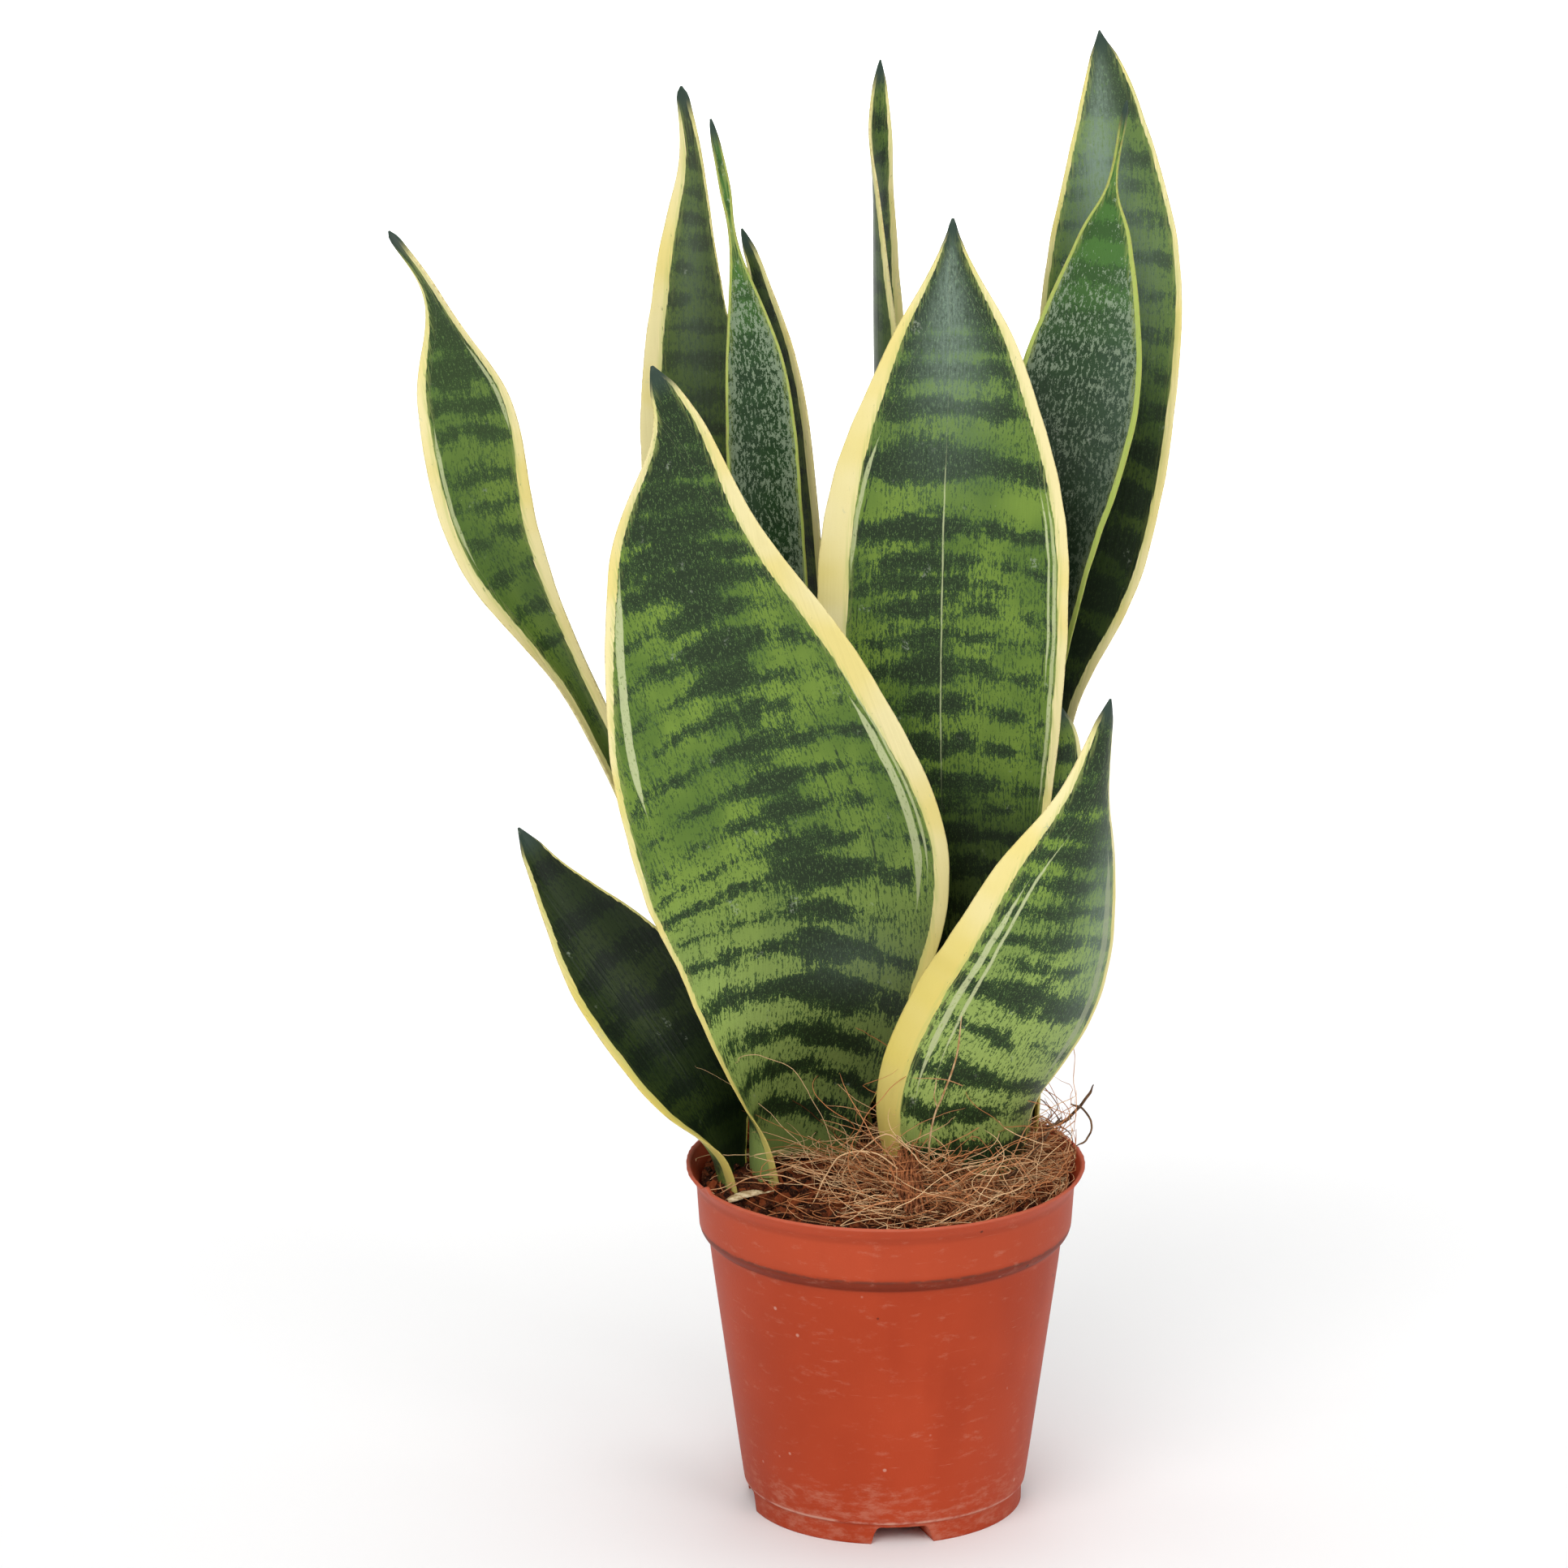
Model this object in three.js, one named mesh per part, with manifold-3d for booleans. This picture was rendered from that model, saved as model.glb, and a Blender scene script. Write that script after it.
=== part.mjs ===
// Potted snake plant: twelve stiff leaves in a 12 cm nursery pot, with soil and a coir mat.
// Units are millimetres, +Z is up. The origin is the middle of the pot's underside, on the ground.
import * as THREE from 'three';
import { mergeVertices } from 'three/addons/utils/BufferGeometryUtils.js';
import Module from 'manifold-3d';

const wasm = await Module();
wasm.setup();

// ---------- driving dimensions ----------

const GAP = 0.35;              // clearance kept between pieces that touch
const ROUND = 40;              // facets around the pot and the soil

const POT_HEIGHT = 107;
const WALL = 1.1;
const LIP_RADIUS = 60;
const COLLAR_RADIUS = 56.8;
const COLLAR_FOOT = 88.5;      // height where the collar starts to turn in
const SHOULDER_RADIUS = 53.3;
const SHOULDER_HEIGHT = 85.2;
const BODY_FOOT_RADIUS = 42.4;
const FOOT_RADIUS = 41.4;
const FOOT_HEIGHT = 6.6;
const FLOOR_TOP = 8.2;
const LEDGE_HEIGHT = 1.2;      // the foot ring's lower, slightly inset edge
const LEDGE_INSET = 0.8;
const CENTRE_FOOT_RADIUS = 12;
const NOTCHES = 4;
const NOTCH_TURN = -83;        // degrees, middle of the front notch
const NOTCH_TOP_WIDTH = 14;
const NOTCH_FOOT_WIDTH = 18;
const LEDGE_NOTCH_WIDTH = 24;
const DRAIN_RADIUS = 4.5;
const DRAIN_CIRCLE = 27;

const SOIL_TOP = 101.5;
const RHIZOME_RADIUS = 6.6;
const RHIZOME_DEPTH = 75.2;    // height of a rhizome's axis above the ground
const LEAF_FOOT = 84;          // height of the buried end of every leaf

// A leaf is a list of stations from its buried end to its tip:
// x, y, z of the middle line, half width, the way its inner face looks (degrees, -90 is the front),
// and the half angle of its channel in degrees (0 is flat).
const LEAVES = {
  leaf_front_broad: [
    [-32.3, 17.1, LEAF_FOOT, 18, -45, 100],
    [-33.9, 15.2, 104, 26, -45, 100],
    [-30, 15, 126, 28, -60, 75],
    [-25, 8, 160, 36, -84, 34],
    [-27, 1, 200, 46.5, -88, 24],
    [-42, -7, 250, 42.5, -93, 22],
    [-57, -13, 300, 26, -95, 24],
    [-61, -16, 338, 9, -88, 30],
    [-69, -17, 359, 1.8, -80, 30],
  ],
  leaf_centre_tall: [
    [20, 11, LEAF_FOOT, 13, -90, 60],
    [20, 13, 110, 15, -90, 45],
    [18, 16, 160, 22.5, -90, 25],
    [16, 16, 230, 35, -90, 14],
    [17, 14, 300, 36.5, -90, 12],
    [19, 13, 350, 22.5, -90, 12],
    [19, 12, 385, 4.5, -90, 20],
    [19, 12, 396, 1.2, -90, 40],
  ],
  leaf_front_small: [
    [24, -5, LEAF_FOOT, 20, 98, 65],
    [22, -7, 108, 25, 98, 55],
    [25, -13, 135, 28, 102, 40],
    [42, -21, 170, 29.5, 110, 36],
    [52, -27, 205, 22, 118, 32],
    [59, -30, 233, 9.5, 125, 28],
    [65, -31, 262, 1.5, 130, 30],
  ],
  leaf_left_low: [
    [-44, -3, LEAF_FOOT, 9, -10, 45],
    [-47.7, -1.3, 104, 12.2, -9, 45],
    [-50.8, 0.6, 115, 14.2, -24.5, 42],
    [-57, 3, 130, 19, -48, 35],
    [-80, 12, 163, 18, -60, 25],
    [-100, 17, 190, 7, -62, 20],
    [-110, 20, 206, 1.5, -60, 20],
  ],
  leaf_far_left: [
    [-28, 33, LEAF_FOOT, 8, -70, 95],
    [-34, 34, 110, 8.5, -70, 95],
    [-63, 38, 180, 6.5, -75, 90],
    [-90, 40, 240, 6, -85, 75],
    [-116, 36, 290, 13.5, -90, 22],
    [-125, 30, 335, 14.5, -100, 16],
    [-134, 26, 368, 3.8, -130, 14],
    [-147, 24, 389, 2, -140, 10],
  ],
  leaf_rear_left_tall: [
    [-17, 41, LEAF_FOOT, 9, -90, 70],
    [-20, 43, 110, 10.5, -90, 55],
    [-38, 47, 180, 13, -92, 30],
    [-50, 48, 250, 16.5, -92, 20],
    [-57, 46, 320, 16.5, -90, 16],
    [-59, 43, 370, 10, -95, 14],
    [-58, 41, 405, 4.5, -125, 12],
    [-61, 40, 429, 1.9, -130, 10],
  ],
  leaf_young_left: [
    [-8, 29, LEAF_FOOT, 7.5, -90, 100],
    [-10, 30, 110, 7.5, -90, 85],
    [-26, 30, 200, 9.5, -85, 50],
    [-35, 28, 290, 11.5, -85, 40],
    [-39, 26, 345, 9.5, -85, 40],
    [-45, 25, 383, 1.3, -85, 40],
    [-48, 24, 403, 1.4, -85, 40],
    [-52, 24, 423, 0.8, -85, 40],
  ],
  leaf_cradle_left: [
    [5, 40, LEAF_FOOT, 9, -110, 85],
    [0, 40, 110, 9, -110, 75],
    [-18, 39, 200, 8.5, -115, 50],
    [-26, 37, 290, 10.5, -125, 35],
    [-31, 35, 340, 7.5, -122, 25],
    [-38, 33, 372, 3, -115, 20],
    [-43, 31, 388, 1.2, -100, 20],
  ],
  leaf_rear_centre: [
    [20, 41, LEAF_FOOT, 6.5, -80, 80],
    [17, 42, 110, 8, -60, 75],
    [7, 43, 180, 11, -25, 65],
    [0, 43, 260, 14, -8, 65],
    [-2, 42, 340, 15, -5, 62],
    [-2.5, 42, 375, 12, -8, 50],
    [-2.5, 41, 400, 7.5, -20, 38],
    [-2.5, 41, 420, 3.8, -55, 25],
    [-2, 40, 437, 1.1, -60, 20],
  ],
  leaf_rear_right_tall: [
    [38, 28, LEAF_FOOT, 8, -112, 75],
    [40, 30, 110, 9.5, -110, 65],
    [44, 37, 190, 10, -112, 50],
    [48, 38, 240, 11, -108, 38],
    [59, 38, 285, 19.5, -104, 28],
    [65, 37, 335, 21.5, -96, 18],
    [67, 35, 380, 19.5, -90, 14],
    [65, 32, 425, 9, -88, 14],
    [62, 31, 448, 1.2, -88, 14],
  ],
  leaf_young_right: [
    [24, 27, LEAF_FOOT, 6.5, -90, 100],
    [26.5, 26.5, 110, 6.5, -92, 90],
    [35.5, 25.5, 200, 7.5, -96, 50],
    [46, 24.5, 280, 13.5, -94, 40],
    [56, 23, 340, 19.5, -88, 36],
    [63, 22, 385, 9.5, -85, 40],
    [66, 22, 404, 1.3, -85, 40],
    [70, 22, 429, 0.8, -85, 40],
  ],
  leaf_right_low: [
    [39, 13, LEAF_FOOT, 5, 160, 50],
    [40.5, 14, 110, 6, 155, 45],
    [47, 18.5, 165, 8.5, 135, 35],
    [51.5, 20, 205, 9, 118, 25],
    [53, 19, 230, 6, 112, 20],
    [51, 18.5, 246, 1.2, 112, 20],
  ],
};

const LEAF_COLUMNS = 5;            // points across a leaf's face
const RINGS_PER_STATION = 2;
const POCKET_DEPTH = 5;            // how far a leaf's pocket reaches below the leaf
const LEAF_THICKNESS = { foot: 3.2, middle: 2.2, tip: 1.2, margin: 0.8 };

// ---------- colours ----------

const paint = (color, roughness) => new THREE.MeshStandardMaterial({ color, roughness, metalness: 0 });
const TERRACOTTA = 0xaf4b30;
const PEAT = 0x38231a;
const COIR = 0xa9805a;
const LEAF_GREEN = 0x3f6b35;
const YOUNG_GREEN = 0x4f7a50;
const RHIZOME_TAN = 0xc9a574;
const DRY_HUSK = 0xcdb48c;
const WOOD_BROWN = 0x8a5f42;
const DARK_ROOT = 0x3b2a22;
const FIBRE_TAN = 0xc8a373;

// ---------- mesh helpers ----------

function solidFrom(points, triangles) {
  const geometry = new THREE.BufferGeometry();
  geometry.setAttribute('position', new THREE.Float32BufferAttribute(points.flat(), 3));
  geometry.setIndex(triangles.flat());
  return geometry;
}

function toManifold(geometry) {
  const bare = geometry.clone();
  bare.deleteAttribute('normal');
  bare.deleteAttribute('uv');
  const merged = mergeVertices(bare, 1e-4);
  const index = merged.index.array;
  const kept = [];
  for (let i = 0; i < index.length; i += 3) {
    const [a, b, c] = [index[i], index[i + 1], index[i + 2]];
    if (a !== b && b !== c && c !== a) kept.push(a, b, c);
  }
  return new wasm.Manifold(new wasm.Mesh({
    numProp: 3,
    vertProperties: new Float32Array(merged.attributes.position.array),
    triVerts: new Uint32Array(kept),
  }));
}

function fromManifold(solid) {
  const mesh = solid.getMesh();
  const geometry = new THREE.BufferGeometry();
  geometry.setAttribute('position', new THREE.BufferAttribute(mesh.vertProperties, 3));
  geometry.setIndex(new THREE.BufferAttribute(mesh.triVerts, 1));
  return geometry;
}

function largestPiece(solid) {
  const pieces = solid.decompose();
  return pieces.reduce((best, piece) => (piece.volume() > best.volume() ? piece : best));
}

function lathe(profile) {
  const points = [...profile, profile[0]].map(([radius, height]) => new THREE.Vector2(radius, height));
  return new THREE.LatheGeometry(points, ROUND).rotateX(Math.PI / 2);
}

// A rod along a curve; its section is scaled flat by `squash`.
function rod(points, radius, steps, squash = 1, sides = 8) {
  const curve = new THREE.CatmullRomCurve3(points.map((p) => new THREE.Vector3(...p)));
  const section = new THREE.Shape();
  for (let i = 0; i < sides; i += 1) {
    const angle = (i / sides) * 2 * Math.PI;
    const x = radius * Math.cos(angle);
    const y = radius * squash * Math.sin(angle);
    if (i === 0) section.moveTo(x, y);
    else section.lineTo(x, y);
  }
  section.closePath();
  return new THREE.ExtrudeGeometry(section, { steps, extrudePath: curve, bevelEnabled: false });
}

// ---------- pot ----------

function potProfile() {
  const innerFoot = BODY_FOOT_RADIUS - WALL;
  return [
    [0, 0],
    [CENTRE_FOOT_RADIUS, 0],
    [CENTRE_FOOT_RADIUS, FOOT_HEIGHT],
    [FOOT_RADIUS - 2 * WALL, FOOT_HEIGHT],
    [FOOT_RADIUS - 2 * WALL - LEDGE_INSET, 0],
    [FOOT_RADIUS - LEDGE_INSET, 0],
    [FOOT_RADIUS - LEDGE_INSET, LEDGE_HEIGHT],
    [FOOT_RADIUS - 0.3, LEDGE_HEIGHT],
    [FOOT_RADIUS, FOOT_HEIGHT - 0.6],
    [BODY_FOOT_RADIUS, FOOT_HEIGHT],
    [SHOULDER_RADIUS, SHOULDER_HEIGHT],
    [COLLAR_RADIUS - 1.6, COLLAR_FOOT - 2],
    [COLLAR_RADIUS - 0.5, COLLAR_FOOT],
    [COLLAR_RADIUS, POT_HEIGHT - 5],
    [LIP_RADIUS - 0.6, POT_HEIGHT - 2.6],
    [LIP_RADIUS, POT_HEIGHT - 0.8],
    [LIP_RADIUS - 0.6, POT_HEIGHT],
    [COLLAR_RADIUS, POT_HEIGHT - 0.6],
    [COLLAR_RADIUS - WALL, POT_HEIGHT - 4],
    [COLLAR_RADIUS - WALL - 0.5, COLLAR_FOOT + 0.6],
    [SHOULDER_RADIUS - WALL, SHOULDER_HEIGHT + 0.8],
    [innerFoot, FLOOR_TOP],
    [0, FLOOR_TOP],
  ];
}

// A wedge that runs outward through the foot ring, wider at the bottom.
function notchCutter(topWidth, footWidth, top) {
  const outline = new THREE.Shape();
  outline.moveTo(-footWidth / 2, -1);
  outline.lineTo(footWidth / 2, -1);
  outline.lineTo(topWidth / 2, top);
  outline.lineTo(-topWidth / 2, top);
  outline.closePath();
  const wedge = new THREE.ExtrudeGeometry(outline, { depth: 20, bevelEnabled: false });
  return wedge.rotateX(Math.PI / 2).rotateZ(Math.PI / 2).translate(FOOT_RADIUS - 10, 0, 0);
}

function potGeometry() {
  let pot = toManifold(lathe(potProfile()));
  for (let i = 0; i < NOTCHES; i += 1) {
    const turn = THREE.MathUtils.degToRad(NOTCH_TURN + (i * 360) / NOTCHES);
    const notch = notchCutter(NOTCH_TOP_WIDTH, NOTCH_FOOT_WIDTH, FOOT_HEIGHT - 0.1).rotateZ(turn);
    const ledge = notchCutter(LEDGE_NOTCH_WIDTH, LEDGE_NOTCH_WIDTH, LEDGE_HEIGHT).rotateZ(turn);
    const drain = new THREE.CylinderGeometry(DRAIN_RADIUS, DRAIN_RADIUS, 12, 16).rotateX(Math.PI / 2);
    drain.translate(DRAIN_CIRCLE, 0, FLOOR_TOP).rotateZ(turn);
    for (const cutter of [notch, ledge, drain]) pot = pot.subtract(toManifold(cutter));
  }
  return fromManifold(pot);
}

// ---------- leaves ----------

const thicknessAlong = (t) => (t < 0.5
  ? THREE.MathUtils.lerp(LEAF_THICKNESS.foot, LEAF_THICKNESS.middle, t * 2)
  : THREE.MathUtils.lerp(LEAF_THICKNESS.middle, LEAF_THICKNESS.tip, t * 2 - 1));

// One ring of points round a leaf: along its face, then back along its outer side.
function leafRing(path, shape, t, grow) {
  const middle = path.getPoint(t);
  const along = path.getTangent(t);
  const { x: halfWidth, y: faceDegrees, z: cupDegrees } = shape.getPoint(t);
  const face = THREE.MathUtils.degToRad(faceDegrees);
  const cup = Math.max(THREE.MathUtils.degToRad(cupDegrees), 0.02);
  const inward = new THREE.Vector3(Math.cos(face), Math.sin(face), 0);
  inward.addScaledVector(along, -inward.dot(along)).normalize();
  const across = new THREE.Vector3().crossVectors(along, inward);
  const radius = Math.max(halfWidth, 0.5) / cup;
  const front = [];
  const back = [];
  for (let i = 0; i < LEAF_COLUMNS; i += 1) {
    const s = (2 * i) / (LEAF_COLUMNS - 1) - 1;
    const angle = s * (cup + grow / radius);
    const thickness = LEAF_THICKNESS.margin
      + (thicknessAlong(t) - LEAF_THICKNESS.margin) * (1 - s * s);
    const point = middle.clone()
      .addScaledVector(across, radius * Math.sin(angle))
      .addScaledVector(inward, radius * (1 - Math.cos(angle)));
    const toCentre = inward.clone().multiplyScalar(Math.cos(angle)).addScaledVector(across, -Math.sin(angle));
    front.push(point.clone().addScaledVector(toCentre, grow).toArray());
    back.push(point.clone().addScaledVector(toCentre, -thickness - grow).toArray());
  }
  return [...front, ...back.reverse()];
}

// With `grow` it is the pocket that holds the leaf: wider all round, and reaching deeper.
function leafGeometry(stations, grow = 0) {
  const path = new THREE.CatmullRomCurve3(
    stations.map(([x, y, z]) => new THREE.Vector3(x, y, z)),
    false, 'catmullrom', 0.5,
  );
  const shape = new THREE.CatmullRomCurve3(
    stations.map(([, , , halfWidth, face, cup]) => new THREE.Vector3(halfWidth, face, cup)),
    false, 'catmullrom', 0.5,
  );
  const steps = Math.round((stations.length - 1) * RINGS_PER_STATION);
  const size = LEAF_COLUMNS * 2;
  const points = [];
  const triangles = [];
  if (grow > 0) points.push(...leafRing(path, shape, 0, grow).map(([x, y, z]) => [x, y, z - POCKET_DEPTH]));
  for (let k = 0; k <= steps; k += 1) points.push(...leafRing(path, shape, k / steps, grow));
  const rings = points.length / size - 1;
  for (let k = 0; k < rings; k += 1) {
    for (let i = 0; i < size; i += 1) {
      const a = k * size + i;
      const b = k * size + ((i + 1) % size);
      triangles.push([a, b, b + size], [a, b + size, a + size]);
    }
  }
  for (let i = 0; i < LEAF_COLUMNS - 1; i += 1) {
    const far = size - 1 - i;
    const top = rings * size;
    triangles.push([i, far, far - 1], [i, far - 1, i + 1]);
    triangles.push([top + i, top + i + 1, top + far - 1], [top + i, top + far - 1, top + far]);
  }
  return solidFrom(points, triangles);
}

// ---------- rhizomes ----------

const RHIZOMES = {
  rhizome_left: [[-41, -12], [-33, 10], [-21, 31], [-4, 35], [8, 36]],
  rhizome_front: [[23, -8], [22, 6], [30, 10], [43, 11]],
  rhizome_rear: [[36, 26], [28, 27], [22, 30], [19, 38]],
};

// With `grow` it is the pocket round the rhizome, also longer at both ends.
function rhizomeGeometry(route, grow = 0) {
  const points = route.map(([x, y]) => new THREE.Vector3(x, y, RHIZOME_DEPTH));
  const lengthen = (end, before) => end.addScaledVector(end.clone().sub(before).normalize(), grow);
  lengthen(points[0], points[1]);
  lengthen(points.at(-1), points.at(-2));
  return rod(points.map((p) => p.toArray()), RHIZOME_RADIUS + grow, 8);
}

// ---------- soil and coir ----------

const lumps = (x, y) => 0.9 * Math.sin(x * 0.21 + 1.3) * Math.cos(y * 0.17)
  + 0.6 * Math.sin(x * 0.43 - y * 0.31);
const soilHeight = (x, y) => SOIL_TOP + 0.25 * lumps(x, y);

function soilGeometry(pockets) {
  const wall = [
    [BODY_FOOT_RADIUS - WALL - GAP, FLOOR_TOP + GAP],
    [SHOULDER_RADIUS - WALL - GAP, SHOULDER_HEIGHT + 0.8],
    [COLLAR_RADIUS - WALL - 0.5 - GAP, COLLAR_FOOT + 0.6 + GAP],
    [COLLAR_RADIUS - WALL - 0.2 - GAP, SOIL_TOP - 1.5],
  ];
  const rings = [...wall];
  for (const share of [0.86, 0.68, 0.48, 0.26]) rings.push([wall[3][0] * share, null]);
  const points = [[0, 0, FLOOR_TOP + GAP]];
  for (const [radius, height] of rings) {
    for (let i = 0; i < ROUND; i += 1) {
      const angle = (i / ROUND) * 2 * Math.PI;
      const x = radius * Math.sin(angle);
      const y = radius * Math.cos(angle);
      points.push([x, y, height ?? soilHeight(x, y)]);
    }
  }
  points.push([0, 0, soilHeight(0, 0)]);
  const last = points.length - 1;
  const triangles = [];
  for (let i = 0; i < ROUND; i += 1) {
    const next = (i + 1) % ROUND;
    triangles.push([0, 1 + i, 1 + next]);
    for (let k = 0; k < rings.length - 1; k += 1) {
      const low = 1 + k * ROUND;
      const high = low + ROUND;
      triangles.push([low + i, high + i, high + next], [low + i, high + next, low + next]);
    }
    const top = 1 + (rings.length - 1) * ROUND;
    triangles.push([top + i, last, top + next]);
  }
  let soil = toManifold(solidFrom(points, triangles));
  for (const pocket of pockets) soil = soil.subtract(pocket);
  return fromManifold(largestPiece(soil));
}

const bump = (x, y, cx, cy, height, spread) => (
  height * Math.exp(-((x - cx) ** 2 + (y - cy) ** 2) / (2 * spread ** 2)));

const MAT = {
  underside: SOIL_TOP + 0.9,
  top: 104,
  centre: [16, -2],
  reach: 54.2,               // keeps clear of the collar's inside
  leftEdge: -20,
};

const matHeight = (x, y) => MAT.top + 0.35 * lumps(x, y)
  + bump(x, y, 2, 8, 5, 17)
  + bump(x, y, 45, 26, 4.5, 12);

// How far the mat reaches from its centre in one direction.
function matReach(angle) {
  const [cx, cy] = MAT.centre;
  const [dx, dy] = [Math.cos(angle), Math.sin(angle)];
  const along = cx * dx + cy * dy;
  const toWall = -along + Math.sqrt(along ** 2 + MAT.reach ** 2 - cx ** 2 - cy ** 2);
  const ragged = MAT.leftEdge + 3 * Math.sin(angle * 5);
  const toEdge = dx < -0.05 ? (ragged - cx) / dx : Infinity;
  return Math.min(toWall, toEdge);
}

function coirGeometry(pockets) {
  const [cx, cy] = MAT.centre;
  const spokes = 36;
  const shares = [1, 0.8, 0.55, 0.28];
  const points = [[cx, cy, MAT.underside]];
  const place = (share, i) => {
    const angle = (i / spokes) * 2 * Math.PI;
    const reach = matReach(angle) * share;
    return [cx + reach * Math.cos(angle), cy + reach * Math.sin(angle)];
  };
  for (let i = 0; i < spokes; i += 1) points.push([...place(1, i), MAT.underside]);
  for (const share of shares) {
    for (let i = 0; i < spokes; i += 1) {
      const [x, y] = place(share, i);
      points.push([x, y, share === 1 ? MAT.top - 0.4 : matHeight(x, y)]);
    }
  }
  points.push([cx, cy, matHeight(cx, cy)]);
  const last = points.length - 1;
  const triangles = [];
  for (let i = 0; i < spokes; i += 1) {
    const next = (i + 1) % spokes;
    triangles.push([0, 1 + next, 1 + i]);
    for (let k = 0; k < shares.length; k += 1) {
      const low = 1 + k * spokes;
      const high = low + spokes;
      triangles.push([low + i, high + next, high + i], [low + i, low + next, high + next]);
    }
    const top = 1 + shares.length * spokes;
    triangles.push([top + i, top + next, last]);
  }
  let mat = toManifold(solidFrom(points, triangles));
  for (const pocket of pockets) mat = mat.subtract(pocket);
  return fromManifold(largestPiece(mat));
}

// ---------- small loose pieces ----------

const LOOSE_PIECES = {
  dried_sheath: {
    route: [[-47, -26, 104.2], [-41, -22.5, 105], [-34, -19, 105.6]],
    radius: 1.2, steps: 4, squash: 0.6, sides: 8, color: DRY_HUSK,
  },
  husk_stalk: {
    route: [[5.5, -11, 113.5], [6, -28, 108.9], [6.8, -46, 106.4]],
    radius: 1.6, steps: 5, squash: 0.6, sides: 8, color: WOOD_BROWN,
  },
  twig_end: {
    route: [[9.8, -16, 110.4], [15, -16, 111], [20.5, -15.5, 111.8]],
    radius: 1.1, steps: 4, squash: 1, sides: 8, color: WOOD_BROWN,
  },
  root_twig: {
    route: [[50, 23, 110.5], [53.5, 23.5, 111.2], [57, 25, 113.3], [61, 26, 118], [63.5, 26, 122.5]],
    radius: 0.45, steps: 10, squash: 1, sides: 6, color: DARK_ROOT,
  },
  fibre_tall: {
    route: [[12.5, -22, 108.5], [13.5, -27, 128], [17, -31, 140], [20.5, -34, 152], [21.8, -34, 165]],
    radius: 0.3, steps: 12, squash: 1, sides: 6, color: FIBRE_TAN,
  },
};

// ---------- assembly ----------

const plant = new THREE.Group();
plant.name = 'potted_snake_plant';

function add(name, geometry, color, roughness) {
  const mesh = new THREE.Mesh(geometry, paint(color, roughness));
  mesh.name = name;
  plant.add(mesh);
}

const pockets = [
  ...Object.values(LEAVES).map((stations) => toManifold(leafGeometry(stations, GAP))),
  ...Object.values(RHIZOMES).map((route) => toManifold(rhizomeGeometry(route, GAP))),
];

add('pot', potGeometry(), TERRACOTTA, 0.45);
add('soil', soilGeometry(pockets), PEAT, 0.95);
add('coir_mat', coirGeometry(pockets), COIR, 0.9);
for (const [name, stations] of Object.entries(LEAVES)) {
  const young = name.includes('young');
  add(name, leafGeometry(stations), young ? YOUNG_GREEN : LEAF_GREEN, 0.4);
}
for (const [name, route] of Object.entries(RHIZOMES)) {
  add(name, rhizomeGeometry(route), RHIZOME_TAN, 0.8);
}
for (const [name, piece] of Object.entries(LOOSE_PIECES)) {
  const { route, radius, steps, squash, sides, color } = piece;
  add(name, rod(route, radius, steps, squash, sides), color, 0.85);
}

export default plant;
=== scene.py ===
"""Looks for the potted snake plant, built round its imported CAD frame: metres, +Z up."""

import math

import bpy
import numpy as np
from mathutils import Matrix, noise


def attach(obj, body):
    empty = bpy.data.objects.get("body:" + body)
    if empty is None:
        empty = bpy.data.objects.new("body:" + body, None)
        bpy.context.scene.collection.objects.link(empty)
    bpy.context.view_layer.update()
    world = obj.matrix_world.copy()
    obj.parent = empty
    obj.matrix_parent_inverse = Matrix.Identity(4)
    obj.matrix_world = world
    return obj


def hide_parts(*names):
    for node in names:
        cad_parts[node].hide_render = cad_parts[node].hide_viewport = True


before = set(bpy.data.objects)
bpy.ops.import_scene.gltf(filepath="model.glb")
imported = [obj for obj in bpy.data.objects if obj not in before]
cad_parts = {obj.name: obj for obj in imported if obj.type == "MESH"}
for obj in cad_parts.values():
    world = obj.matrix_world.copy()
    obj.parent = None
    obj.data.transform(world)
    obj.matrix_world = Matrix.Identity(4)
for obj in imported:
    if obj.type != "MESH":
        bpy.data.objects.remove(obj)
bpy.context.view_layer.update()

MM = 0.001
ROOT = "root"


# ---- shader writing

def tone(code):
    """A paint colour written as six hex digits, in the linear values that shaders take."""
    parts = [int(code[i:i + 2], 16) / 255 for i in (0, 2, 4)]
    line = [c / 12.92 if c <= 0.04045 else ((c + 0.055) / 1.055) ** 2.4 for c in parts]
    return (*line, 1.0)


class Wire:
    """One output of a shader node, so that shader sums read as plain Python."""

    def __init__(self, paint, socket):
        self.paint = paint
        self.socket = socket

    def math(self, operation, *others):
        values = dict(enumerate((self, *others)))
        return self.paint.node("ShaderNodeMath", {"operation": operation}, values)

    def __add__(self, other):
        return self.math("ADD", other)

    __radd__ = __add__

    def __mul__(self, other):
        return self.math("MULTIPLY", other)

    __rmul__ = __mul__

    def __sub__(self, other):
        return self.math("SUBTRACT", other)

    def __rsub__(self, other):
        return self.paint.node("ShaderNodeMath", {"operation": "SUBTRACT"}, {0: other, 1: self})

    def __neg__(self):
        return self * -1.0

    def __abs__(self):
        return self.math("ABSOLUTE")

    def least(self, other):
        return self.math("MINIMUM", other)

    def rise(self, low, high):
        """0 below low, 1 above high, smooth between; high may be the smaller one."""
        settings = {"interpolation_type": "SMOOTHSTEP", "clamp": True}
        if low > high:
            return 1.0 - self.rise(high, low)
        return self.paint.node("ShaderNodeMapRange", settings, {0: self, 1: low, 2: high})

    def axes(self):
        return [self.paint.node("ShaderNodeSeparateXYZ", {}, {0: self}, k) for k in range(3)]


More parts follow.
